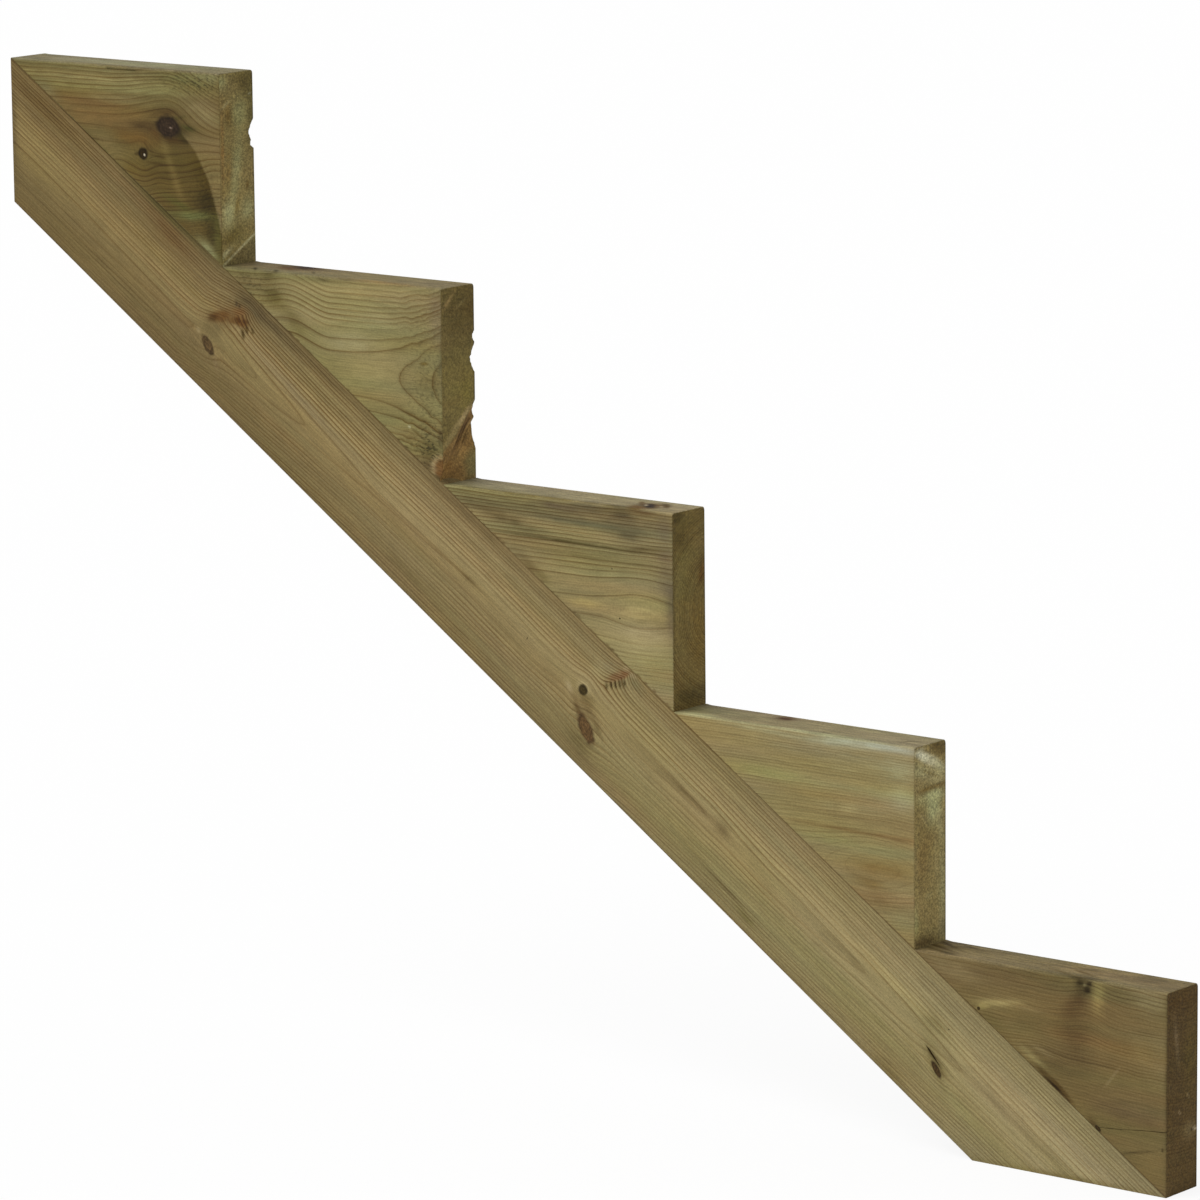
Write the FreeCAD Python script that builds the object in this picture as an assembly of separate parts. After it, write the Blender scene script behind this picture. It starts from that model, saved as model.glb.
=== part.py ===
"""Stair stringer of treated softwood, built up from planed boards.

A sloping bearer carries one sawn triangular block for each step. The bearer has a plumb
cut against the deck and a level cut on the floor. Long screws, driven up through the
bearer from its underside, hold the blocks. One shorter screw goes up through the level
cut, where the underside has ended.

The frame has +X down the stair, +Y through the timber and +Z up. The origin is the
middle of the level cut, on the floor. Steps are numbered from the floor up.
"""

import FreeCAD, Part
import math
import os

from FreeCAD import Vector

# Stair, in millimetres
STEP_COUNT = 5
STEP_RISE = 170.0  # height of a step, and the width of the board that blocks are cut from
STEP_GOING = 250.0  # length of a tread seat along the stair
THICKNESS = 45.0  # of every board

# Bearer
BEARER_DEPTH = 108.0  # square to the pitch line
BEARER_ARRIS = 0.8  # radius of its eased edges

# Step blocks
BLOCK_ARRIS = 3.0  # radius of the eased edges of the block board

# Screws, with countersunk heads that lie flush
SCREW_SPACING = 110.0  # along the pitch line, between the two screws of a block
SCREW_UPHILL = 25.0  # from a block's deepest point up to the middle of its screws
SCREW_BITE = 52.0  # length that is in the block
SCREW_SHANK = 6.0  # diameter
SCREW_HEAD = 12.0  # diameter
SCREW_POINT = 9.0  # length of the tapered point
FOOT_END = 25.0  # from the level cut up the underside to the nearest screw
FOOT_SETBACK = 70.0  # from the lowest riser back to the screw in the level cut

# Star drive in the screw heads
DRIVE_POINTS = 6
DRIVE_ACROSS = 5.5  # over two opposite points
DRIVE_WAIST = 4.0  # over two opposite hollows between the points
DRIVE_DEPTH = 2.4

# Wood that has broken out of the far edge of a riser, by step:
# distance below the tread, height along the edge, and depth
EDGE_BITES = {
    5: [(55.0, 24.0, 3.9), (65.0, 8.0, 3.0)],
    4: [(46.0, 10.0, 1.7), (65.0, 25.0, 3.7)],
}

# Splintered hollow that crosses the riser of one step, from the far edge to the foot
HOLLOW_STEP = 4
HOLLOW_DROP = 122.0  # from the tread to its middle, on the far edge
HOLLOW_SLOPE = 52.0  # degrees below level
HOLLOW_WIDTH = 26.0
HOLLOW_DEPTH = 5.0

# Worked out from the sizes above
STEPS = range(1, STEP_COUNT + 1)
PITCH = math.atan2(STEP_RISE, STEP_GOING)
PITCH_DEG = math.degrees(PITCH)
BLOCK_SEAT = math.hypot(STEP_RISE, STEP_GOING)  # sloping side of a block
TOTAL_RISE = STEP_COUNT * STEP_RISE
TOTAL_GOING = STEP_COUNT * STEP_GOING
LEVEL_CUT = BEARER_DEPTH / math.sin(PITCH)  # length of the bearer's foot on the floor
NOSE_X = LEVEL_CUT / 2  # riser of the lowest step
DECK_X = NOSE_X - TOTAL_GOING  # plumb cut
BLOCK_SCREW_LENGTH = BEARER_DEPTH + SCREW_BITE
FOOT_SCREW_LENGTH = FOOT_SETBACK * math.tan(PITCH) + SCREW_BITE
DOWN_PITCH = Vector(math.cos(PITCH), 0, -math.sin(PITCH))
OFF_PITCH = Vector(math.sin(PITCH), 0, math.cos(PITCH))  # square to the pitch line, upwards
UPRIGHT = Vector(0, 0, 1)


def riser_x(step):
    """Place of a step's riser along the stair."""
    return NOSE_X - (step - 1) * STEP_GOING


def tread_z(step):
    """Height of a step's tread seat."""
    return step * STEP_RISE


def planed_board(length, width, arris):
    """Board along +X with its top edge on Z = 0, its middle on Y = 0 and four eased edges."""
    half = THICKNESS / 2
    low = -width
    slant = arris * math.sqrt(0.5)
    corners = [
        (half - arris, -arris, 1, 1),
        (half - arris, low + arris, 1, -1),
        (arris - half, low + arris, -1, -1),
        (arris - half, -arris, -1, 1),
    ]
    arcs = []
    for y, z, side, up in corners:
        on_edge = Vector(0, y, z + up * arris)
        on_face = Vector(0, y + side * arris, z)
        middle = Vector(0, y + side * slant, z + up * slant)
        ends = (on_edge, on_face) if side == up else (on_face, on_edge)
        arcs.append((ends[0], middle, ends[1]))
    edges = []
    for place, (start, middle, end) in enumerate(arcs):
        following = arcs[(place + 1) % len(arcs)][0]
        edges.append(Part.Arc(start, middle, end).toShape())
        edges.append(Part.LineSegment(end, following).toShape())
    section = Part.Face(Part.Wire(edges))
    return section.extrude(Vector(length, 0, 0))


def screw_body(length):
    """Countersunk screw along -Z from the top of its head, with no drive."""
    shank = SCREW_SHANK / 2
    head = SCREW_HEAD / 2
    outline = [
        Vector(0, 0, 0),
        Vector(head, 0, 0),
        Vector(shank, 0, shank - head),
        Vector(shank, 0, SCREW_POINT - length),
        Vector(0, 0, -length),
        Vector(0, 0, 0),
    ]
    half_section = Part.Face(Part.makePolygon(outline))
    return half_section.revolve(Vector(0, 0, 0), Vector(0, 0, 1), 360)


def star_drive():
    """Star-shaped recess that goes down from Z = 0."""
    corners = []
    for number in range(2 * DRIVE_POINTS):
        radius = (DRIVE_WAIST if number % 2 else DRIVE_ACROSS) / 2
        angle = math.pi * number / DRIVE_POINTS
        corners.append(Vector(radius * math.cos(angle), radius * math.sin(angle), 0))
    star = Part.Face(Part.makePolygon(corners + corners[:1]))
    return star.extrude(Vector(0, 0, -DRIVE_DEPTH))


def driven(shape, head, direction):
    """Copy of a screw, with the top of its head at a place."""
    copy = shape.copy()
    copy.Placement = FreeCAD.Placement(head, FreeCAD.Rotation(Vector(0, 0, -1), direction))
    return copy


def underside_heads(step):
    """Top of each screw head in the underside of the bearer that belongs to a step."""
    if step == 1:
        lower_corner = Vector(-LEVEL_CUT / 2, 0, 0)
        return [lower_corner - DOWN_PITCH * FOOT_END]
    tip = Vector(riser_x(step) - STEP_GOING, 0, tread_z(step))
    middle = STEP_GOING * math.cos(PITCH) - SCREW_UPHILL
    below = OFF_PITCH * BEARER_DEPTH
    along = [middle - SCREW_SPACING / 2, middle + SCREW_SPACING / 2]
    return [tip + DOWN_PITCH * distance - below for distance in along]


def block_screw_set(shape, steps):
    """Copies of a shape at the screws that the given steps have in the underside."""
    return [driven(shape, head, OFF_PITCH) for step in steps for head in underside_heads(step)]


def at_foot(shape):
    """Copy of a shape at the screw in the level cut."""
    return driven(shape, Vector(NOSE_X - FOOT_SETBACK, 0, 0), UPRIGHT)


def bearer():
    """Sloping board with its plumb cut, level cut and countersunk screw holes."""
    spare = BEARER_DEPTH * math.tan(PITCH) + BEARER_DEPTH / math.tan(PITCH)
    board = planed_board(STEP_COUNT * BLOCK_SEAT + 2 * spare, BEARER_DEPTH, BEARER_ARRIS)
    top = Vector(DECK_X, 0, TOTAL_RISE) - DOWN_PITCH * spare
    board.Placement = FreeCAD.Placement(top, FreeCAD.Rotation(Vector(0, 1, 0), PITCH_DEG))
    room = Part.makeBox(TOTAL_GOING + spare, THICKNESS, TOTAL_RISE, Vector(DECK_X, -THICKNESS / 2, 0))
    shape = board.common(room)
    holes = block_screw_set(screw_body(BLOCK_SCREW_LENGTH), STEPS)
    holes.append(at_foot(screw_body(FOOT_SCREW_LENGTH)))
    return shape.cut(holes)


def edge_bite(step, drop, height, depth):
    """Round scoop that takes wood off the far edge of a riser."""
    radius = height * height / (8 * depth) + depth / 2
    outward = Vector(1, 1, 0).normalize()
    along = Vector(1, -1, 0).normalize()
    edge = Vector(riser_x(step), THICKNESS / 2, tread_z(step) - drop)
    reach = 2 * THICKNESS
    start = edge + outward * (radius - depth) - along * (reach / 2)
    return Part.makeCylinder(radius, reach, start, along)


def splintered_hollow():
    """Round channel across a riser, from its far edge down towards the near end of its foot."""
    radius = HOLLOW_WIDTH * HOLLOW_WIDTH / (8 * HOLLOW_DEPTH) + HOLLOW_DEPTH / 2
    slope = math.radians(HOLLOW_SLOPE)
    along = Vector(0, -math.cos(slope), -math.sin(slope))
    edge = Vector(
        riser_x(HOLLOW_STEP) + radius - HOLLOW_DEPTH,
        THICKNESS / 2,
        tread_z(HOLLOW_STEP) - HOLLOW_DROP,
    )
    reach = THICKNESS / math.cos(slope)
    return Part.makeCylinder(radius, 3 * reach, edge - along * reach, along)


def step_block(step):
    """Triangle sawn from a planed board: tread seat on the board's edge, riser across its end."""
    board = planed_board(STEP_GOING, STEP_RISE, BLOCK_ARRIS)
    tip = Vector(riser_x(step) - STEP_GOING, 0, tread_z(step))
    board.translate(tip)
    waste = Part.makePolygon(
        [
            tip + Vector(0, -THICKNESS, 0),
            tip + Vector(0, -THICKNESS, -STEP_RISE),
            tip + Vector(STEP_GOING, -THICKNESS, -STEP_RISE),
            tip + Vector(0, -THICKNESS, 0),
        ]
    )
    cuts = [Part.Face(waste).extrude(Vector(0, 2 * THICKNESS, 0))]
    cuts += [edge_bite(step, *bite) for bite in EDGE_BITES.get(step, [])]
    if step == HOLLOW_STEP:
        cuts.append(splintered_hollow())
    cuts += block_screw_set(screw_body(BLOCK_SCREW_LENGTH), [step])
    if step == 1:
        cuts.append(at_foot(screw_body(FOOT_SCREW_LENGTH)))
    return board.cut(cuts)


def block_screws():
    """Every screw in the underside of the bearer, as separate solids."""
    screw = screw_body(BLOCK_SCREW_LENGTH).cut(star_drive())
    return Part.makeCompound(block_screw_set(screw, STEPS))


def foot_screw():
    """Shorter screw that goes up through the level cut into the lowest block."""
    return at_foot(screw_body(FOOT_SCREW_LENGTH).cut(star_drive()))


def main():
    """Writes one file for each piece."""
    pieces = {"bearer": bearer(), "block_screws": block_screws(), "foot_screw": foot_screw()}
    for step in STEPS:
        pieces[f"step_block_{step}"] = step_block(step)
    os.makedirs("parts", exist_ok=True)
    for name, shape in pieces.items():
        shape.exportStep(f"parts/{name}.step")
        solids = [round(solid.Volume) for solid in shape.Solids]
        print(name, "valid" if shape.isValid() else "not valid", "volumes in mm3:", solids)


main()
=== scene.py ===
"""Dresses the stair stringer: treated softwood with its own growth rings, knots, stains and wear.

Every board is a dense mesh on the form of its solid. Each of its points carries the number
of its growth ring, its distance from the nearest knot and its stain, which the wood
materials turn into colour. Lengths are in millimetres until a mesh is made.
"""

import itertools
import math

import bpy
import numpy as np
from mathutils import Matrix, Vector


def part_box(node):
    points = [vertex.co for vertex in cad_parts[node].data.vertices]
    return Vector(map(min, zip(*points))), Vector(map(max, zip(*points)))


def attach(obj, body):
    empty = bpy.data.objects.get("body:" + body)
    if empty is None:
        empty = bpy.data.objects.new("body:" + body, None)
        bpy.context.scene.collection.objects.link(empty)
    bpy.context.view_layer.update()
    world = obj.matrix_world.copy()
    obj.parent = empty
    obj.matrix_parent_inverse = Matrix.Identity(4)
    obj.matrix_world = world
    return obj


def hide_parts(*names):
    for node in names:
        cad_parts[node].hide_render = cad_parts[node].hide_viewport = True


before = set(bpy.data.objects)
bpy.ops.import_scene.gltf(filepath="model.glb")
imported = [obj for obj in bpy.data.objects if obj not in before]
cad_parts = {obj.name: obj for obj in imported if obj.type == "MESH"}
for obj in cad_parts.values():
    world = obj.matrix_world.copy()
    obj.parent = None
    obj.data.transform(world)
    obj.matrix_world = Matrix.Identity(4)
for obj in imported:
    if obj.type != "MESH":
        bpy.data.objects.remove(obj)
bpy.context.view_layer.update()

# Sizes, read from the frame
MM = 0.001
STEPS = sorted(int(name.rsplit("_", 1)[1]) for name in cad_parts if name.startswith("step_block"))
LOWEST = [np.array(corner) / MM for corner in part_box("step_block_1")]
GOING, THICKNESS, RISE = LOWEST[1] - LOWEST[0]
NOSE_X = LOWEST[1][0]
LEVEL_CUT = 2 * NOSE_X
PITCH = math.atan2(RISE, GOING)
DEPTH = LEVEL_CUT * math.sin(PITCH)
TOTAL_RISE = len(STEPS) * RISE
DECK_X = NOSE_X - len(STEPS) * GOING
SLOPE_LENGTH = len(STEPS) * math.hypot(RISE, GOING)
FACE = -THICKNESS / 2
DOWN_PITCH = np.array([math.cos(PITCH), 0, -math.sin(PITCH)])
OFF_PITCH = np.array([math.sin(PITCH), 0, math.cos(PITCH)])

# Edges and screws, as the solids have them
BEARER_ARRIS = 0.8
BLOCK_ARRIS = 3.0
SCREW_SPACING = 110.0  # along the pitch line, between the two screws of a block
SCREW_UPHILL = 25.0  # from a block's deepest point up to the middle of its screws
SCREW_BITE = 52.0  # length that is in the block
SCREW_SHANK = 3.0  # radius
SCREW_HEAD = 6.0  # radius
SCREW_POINT = 9.0  # length of the tapered point
FOOT_END = 25.0  # from the level cut up the underside to the nearest screw
DRIVE_POINTS = 6
DRIVE_ACROSS = 5.5  # over two opposite points of the star
DRIVE_WAIST = 4.0  # over two opposite hollows between the points
DRIVE_DEPTH = 2.4

# Wood that has broken out of the far edge of a riser, by step: drop below the tread, height and depth
EDGE_BITES = {
    5: [(55.0, 24.0, 3.9), (65.0, 8.0, 3.0)],
    4: [(46.0, 10.0, 1.7), (65.0, 25.0, 3.7)],
}
# Splintered hollow that crosses the riser of one step
HOLLOW_STEP = 4
HOLLOW_DROP = 122.0  # from the tread to its middle, on the far edge
HOLLOW_SLOPE = math.radians(52.0)  # below level
HOLLOW_WIDTH = 26.0
HOLLOW_DEPTH = 5.0

# Sizes that the solids leave out
SAWN_EDGE = 0.5  # bevel round a sawn riser
SCREW_PLAY = 0.06  # between a screw and its hole
THREAD_PITCH = 3.0
THREAD_ROOT = 2.1  # radius
KNOT_DRIFT = (7.0, 3.0)  # of a knot along and down, from the front of a board to its back
KNOT_TAPER = 0.9  # how much narrower a knot gets on that way
SMALL_KNOT = 4.0  # half length of the largest knot that the grain does not bend round
UPPER_LEAN = 260.0  # length over which the bearer's sections turn towards its plumb cut
LOWER_LEAN = 360.0  # the same towards its level cut
SHARP_ANGLE = math.radians(35)  # between faces that meet in a sharp edge


# Helpers for fields over points

def smooth(low, high, value):
    """Rises softly from 0 at low to 1 at high."""
    part = np.clip((value - low) / (high - low), 0, 1)
    return part * part * (3 - 2 * part)


def noise(seed, *places):
    """Soft random field between -1 and 1, with one value to each unit cell."""
    size = 24
    lattice = np.random.default_rng(seed).uniform(-1, 1, (size,) * len(places))
    cells = [np.floor(place).astype(int) for place in places]
    parts = [smooth(0, 1, place - cell) for place, cell in zip(places, cells)]
    total = 0.0
    for corner in itertools.product((0, 1), repeat=len(places)):
        weight = 1.0
        for bit, part in zip(corner, parts):
            weight = weight * (part if bit else 1 - part)
        total = total + weight * lattice[tuple((cell + bit) % size for cell, bit in zip(cells, corner))]
    return total


def turned(along, across, middle, tilt):
    """Places about a middle, with their axes tilted by so many degrees."""
    turn = math.radians(tilt)
    step = along - middle[0]
    drop = across - middle[1]
    return step * math.cos(turn) + drop * math.sin(turn), drop * math.cos(turn) - step * math.sin(turn)


def spot(along, across, middle, reach, tilt=0.0, edge=1):
    """Spot, 1 in its middle and 0 beyond its reach. A greater edge makes its rim harder."""
    step, drop = turned(along, across, middle, tilt)
    return np.exp(-(((step / reach[0]) ** 2 + (drop / reach[1]) ** 2) ** edge))


def from_knot(along, across, deep, knot):
    """Distance from a knot's middle, where 1 is its rim. A knot narrows as it goes through the board."""
    middle, reach, tilt = knot[:3]
    through = (deep - FACE) / THICKNESS
    centre = [start + drift * through for start, drift in zip(middle, KNOT_DRIFT)]
    step, drop = turned(along, across, centre, tilt)
    return np.hypot(step / reach[0], drop / reach[1]) * (1 + KNOT_TAPER * through)


def round_knots(along, across, knots, push):
    """Places in straight grain that the bent grain around knots comes from."""
    wide, high = 2.6, 3.2  # reach of the bent grain, in sizes of the knot
    bent = across
    for middle, reach, tilt, *_ in knots:
        if reach[0] > SMALL_KNOT:
            pull = push * spot(along, across, middle, (wide * reach[0], high * reach[1]), 0.5 * tilt)
            bent = bent - (across - middle[1]) * pull
    return bent


def patches(along, across, spots):
    """Sum of spots, each with its middle, its reach and its amount."""
    return sum(amount * spot(along, across, middle, reach) for middle, reach, amount in spots)


def stained(tone, mask, colour):
    """Tone with a colour laid over it where a mask is 1."""
    return tone * (1 + mask[:, None] * (np.array(colour) - 1))


# Meshes on the form of the solids

def section_grid(half_width, top, bottom, arris_top, arris_bottom, rows, across):
    """Grid of one board section: rows from its top edge to its bottom edge, columns across it."""
    steps = 4
    angles = np.linspace(0, math.pi / 2, steps + 1)
    flat = np.linspace(-1, 1, across - 2 * steps + 1)[1:-1]

    def edge(arris):
        inner = half_width - arris
        side = inner + arris * np.cos(angles)
        drop = arris * (1 - np.sin(angles))
        sides = np.concatenate([-side, flat * inner, side[::-1]])
        return sides, np.concatenate([drop, 0 * flat, drop[::-1]])

    sides_top, drop_top = edge(arris_top)
    sides_bottom, drop_bottom = edge(arris_bottom)
    share = np.linspace(0, 1, rows + 1)[:, None]
    low = top + arris_top + (bottom - arris_bottom - top - arris_top) * share
    down = np.broadcast_to(low, (rows + 1, across + 1)).copy()
    side = sides_top + (sides_bottom - sides_top) * share
    down[0] = top + drop_top
    down[-1] = bottom - drop_bottom
    return side, down


def grid_loop(rows, across):
    """Places in a section grid that go once round its outline."""
    top = [(0, column) for column in range(across + 1)]
    right = [(row, across) for row in range(1, rows)]
    bottom = [(rows, column) for column in range(across, -1, -1)]
    left = [(row, 0) for row in range(rows - 1, 0, -1)]
    return np.array(top + right + bottom + left)


def hoops(rows, count):
    """Faces between rows of points that each go once round."""
    first = np.arange(rows - 1)[:, None] * count
    here = first + np.arange(count)
    there = first + (np.arange(count) + 1) % count
    return np.stack([here, there, there + count, here + count], axis=2).reshape(-1, 4)


def swept(sections):
    """Points and faces of a closed skin over section grids, with a whole grid over each end.

    Each section is (along, side, down), three grids of one shape. The third result marks the
    faces of the two ends as 1 and 2.
    """
    rows, across = (size - 1 for size in sections[0][1].shape)
    loop = grid_loop(rows, across)
    count = len(loop)
    points = [np.stack([part[loop[:, 0], loop[:, 1]] for part in section], axis=1) for section in sections]
    faces = [hoops(len(sections), count)[:, [0, 3, 2, 1]]]
    marks = [np.zeros(len(faces[0]), int)]
    total = len(sections) * count
    for mark, number in ((1, 0), (2, len(sections) - 1)):
        index = np.full((rows + 1, across + 1), -1)
        index[loop[:, 0], loop[:, 1]] = number * count + np.arange(count)
        inner = index < 0
        index[inner] = total + np.arange(inner.sum())
        total += inner.sum()
        points.append(np.stack([part[inner] for part in sections[number]], axis=1))
        corners = [index[:-1, :-1], index[:-1, 1:], index[1:, 1:], index[1:, :-1]]
        cap = np.stack(corners if mark == 1 else corners[::-1], axis=2).reshape(-1, 4)
        faces.append(cap)
        marks.append(np.full(len(cap), mark))
    return np.concatenate(points), np.concatenate(faces), np.concatenate(marks)


def build_mesh(name, points, faces, face_materials, materials):
    """Closed mesh, with the material of each of its faces."""
    mesh = bpy.data.meshes.new(name)
    mesh.from_pydata((points * MM).tolist(), [], faces)
    for material in materials:
        mesh.materials.append(material)
    mesh.polygons.foreach_set("material_index", face_materials)
    mesh.update()
    return mesh


def added(name, data):
    """New object in the scene."""
    piece = bpy.data.objects.new(name, data)
    bpy.context.scene.collection.objects.link(piece)
    return piece


def drilled(mesh, cutters):
    """Mesh of a board with the forms of other objects cut out of it."""
    name = mesh.name
    board = added(name, mesh)
    for tool in cutters:
        cut = board.modifiers.new(tool.name, "BOOLEAN")
        cut.operation = "DIFFERENCE"
        cut.solver = "EXACT"
        cut.object = tool
    result = bpy.data.meshes.new_from_object(board.evaluated_get(bpy.context.evaluated_depsgraph_get()))
    bpy.data.objects.remove(board)
    bpy.data.meshes.remove(mesh)
    result.name = name
    return result


def values_of(data, name):
    """Vectors of a mesh, as rows."""
    values = np.empty(3 * len(data), np.float32)
    data.foreach_get(name, values)
    return values.reshape(-1, 3)


def finish_board(mesh, origin, axes, fields, node):
    """Puts its fields on a board and the board in the frame.

    The rows of axes point along the board, through it and down it, from the origin.
    """
    places = ((values_of(mesh.vertices, "co") / MM - origin) @ axes.T).T
    normals = (values_of(mesh.vertex_normals, "vector") @ axes.T).T
    on_face = np.abs(places[1]) > THICKNESS / 2 - 0.01
    normals[:, on_face] = np.array([[0], [1], [0]])
    for name, values in fields(*places, normals).items():
        kind = {1: "FLOAT", 2: "FLOAT_VECTOR"}[values.ndim]
        attribute = mesh.attributes.new(name, kind, "POINT")
        row = np.ascontiguousarray(values, np.float32).ravel()
        attribute.data.foreach_set("value" if kind == "FLOAT" else "vector", row)
    place_piece(mesh, node)


def place_piece(mesh, node):
    """Puts a mesh in the frame in place of a node."""
    mesh.polygons.foreach_set("use_smooth", np.ones(len(mesh.polygons), bool))
    mesh.set_sharp_from_angle(angle=SHARP_ANGLE)
    piece = added(mesh.name, mesh)
    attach(piece, "root")
    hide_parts(node)


# Materials

def linear(colour):
    """Colour as a screen shows it, from 0 to 255, made linear for a material."""
    part = np.array(colour) / 255
    return np.where(part <= 0.04045, part / 12.92, ((part + 0.055) / 1.055) ** 2.4)


class Wiring:
    """Short way to lay out a material's nodes."""

    def __init__(self, name):
        self.material = bpy.data.materials.new(name)
        self.material.use_nodes = True
        self.tree = self.material.node_tree
        self.shader = self.tree.nodes["Principled BSDF"]

    def node(self, kind, inputs=(), **settings):
        """New node with its settings, and with sockets set or linked by name or number."""
        node = self.tree.nodes.new("ShaderNode" + kind)
        for key, value in settings.items():
            setattr(node, key, value)
        for socket, value in dict(inputs).items():
            self.feed(node.inputs[socket], value)
        return node

    def feed(self, socket, value):
        """Links an output to a socket, or sets the socket's own value."""
        if isinstance(value, bpy.types.NodeSocket):
            self.tree.links.new(value, socket)
        else:
            socket.default_value = value

    def field(self, name, output="Fac"):
        """Field that the mesh carries."""
        return self.node("Attribute", attribute_name=name).outputs[output]

    def sum(self, operation, *values):
        """Result of one step of arithmetic."""
        return self.node("Math", dict(enumerate(values)), operation=operation).outputs[0]

    def times(self, *values):
        """Product of several values."""
        product = values[0]
        for value in values[1:]:
            product = self.sum("MULTIPLY", product, value)
        return product

    def between(self, value, low, high, start=0.0, end=1.0):
        """Value carried softly from one range to another."""
        inputs = {"Value": value, 1: low, 2: high, 3: start, 4: end}
        return self.node("MapRange", inputs, interpolation_type="SMOOTHSTEP").outputs[0]

    def grain(self, place, scale, detail=2.0):
        """Soft noise, stretched by a scale for each direction of the grain."""
        stretched = self.node("VectorMath", {0: place, 1: scale}, operation="MULTIPLY").outputs[0]
        return self.node("TexNoise", {"Vector": stretched, "Scale": 1.0, "Detail": detail}).outputs["Fac"]

    def mix(self, share, first, second, blend="MIX"):
        """Two colours, mixed."""
        node = self.node("Mix", data_type="RGBA", blend_type=blend)
        for number, value in ((0, share), (6, first), (7, second)):
            self.feed(node.inputs[number], value)
        return node.outputs[2]

    def fade(self, distance, reach):
        """Falls from 1 towards 0 as a distance grows past a reach."""
        return self.sum("EXPONENT", self.times(self.sum("DIVIDE", distance, reach), -1.0))

    def set(self, **sockets):
        """Feeds the shader's own sockets."""
        for name, value in sockets.items():
            self.feed(self.shader.inputs[name.replace("_", " ")], value)


LATE_WOOD = (0.43, 0.31, 0.18, 1.0)  # how much darker the late wood of a ring is than the early wood
YEARS = (0.4, 1.15)  # how much the rings differ from year to year
GLARE = 0.006  # light that the wood's surface mirrors, which its own colour has to leave out
SAWN_RELIEF = 0.0010  # metres
PLANED_RELIEF = 0.0005


def ring_lines(make, place):
    """Growth rings: late wood that darkens towards the end of each ring, and a short soft edge after it."""
    width = make.field("width")
    waver = make.between(make.grain(place, (0.03, 0.35, 0.35)), 0.0, 1.0, -0.4, 0.4)
    ring = make.sum("ADD", make.field("ring"), make.sum("DIVIDE", waver, width))
    share = make.sum("FRACT", ring)
    late = make.field("late")
    before = make.fade(make.times(make.sum("SUBTRACT", 1.0, share), width), late)
    after = make.fade(make.times(share, width), make.times(late, 0.35))
    year = make.node("TexWhiteNoise", {"W": make.sum("FLOOR", ring)}, noise_dimensions="1D")
    strength = make.between(year.outputs["Value"], 0.0, 1.0, *YEARS)
    strength = make.times(strength, make.field("contrast"))
    return make.times(make.sum("MAXIMUM", before, after), strength)


def sawn_surface(make, place, rough):
    """Shade, relief and gloss of fuzzy end grain."""
    fuzz = make.grain(place, (0.45, 0.55, 0.55), 3.0)
    patch = make.grain(place, (0.13, 0.10, 0.16), 3.0)
    fleck = make.between(make.grain(place, (1.1, 0.9, 0.7), 2.0), 0.58, 0.70, 0.0, 0.5)
    coarse = make.between(fuzz, 0.3, 0.7, 0.66, 1.34)
    coarse = make.times(coarse, make.between(patch, 0.3, 0.7, 0.93, 1.07))
    coarse = make.sum("ADD", coarse, fleck)
    shade = make.sum("MULTIPLY_ADD", make.sum("SUBTRACT", coarse, 1.06), rough, 1.0)
    return shade, make.times(fuzz, rough), make.between(fuzz, 0.2, 0.8, 0.72, 0.88)


def planed_surface(make, place, rough, lines):
    """Shade, relief and gloss of planed fibres along the grain."""
    fibre = make.grain(place, (0.04, 0.75, 0.75), 3.0)
    streak = make.grain(place, (0.009, 2.1, 2.1), 1.0)
    fleck = make.between(make.grain(place, (0.05, 1.3, 1.3), 1.0), 0.62, 0.76, 1.0, 0.84)
    speck = make.between(make.grain(place, (0.30, 0.55, 0.55), 3.0), 0.50, 0.62, 0.0, 1.0)
    dark = make.sum("MULTIPLY_ADD", make.times(speck, rough), -0.55, 1.0)
    pile = make.grain(place, (0.55, 0.85, 0.85), 2.0)
    fine = make.times(
        make.between(fibre, 0.28, 0.72, 0.93, 1.07),
        make.between(streak, 0.25, 0.75, 0.92, 1.08),
        make.between(pile, 0.3, 0.7, 0.93, 1.07),
    )
    fine = make.sum("MULTIPLY_ADD", make.sum("SUBTRACT", fine, 1.0), make.field("fuzz"), 1.0)
    relief = make.sum("MULTIPLY_ADD", lines, 0.5, make.times(fibre, dark))
    return make.times(fine, fleck, dark), relief, make.between(lines, 0.0, 1.0, 0.66, 0.54)


def with_knots(make, place, colour):
    """Colour with the hearts of knots, in rings of their own, laid over it."""
    knot = make.field("knot")
    core = make.between(knot, 0.74, 1.20, 1.0, 0.0)
    turns = make.sum("MULTIPLY_ADD", make.sum("SINE", make.times(knot, 21.0)), 0.16, 1.0)
    rim = make.between(knot, 0.3, 0.95, 1.18, 0.75)
    crumb = make.between(make.grain(place, (0.5, 0.7, 0.5), 2.0), 0.35, 0.65, 0.75, 1.25)
    heart = make.mix(1.0, make.field("heart", "Vector"), make.times(turns, rim, crumb), "MULTIPLY")
    return make.mix(core, colour, heart)


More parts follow.
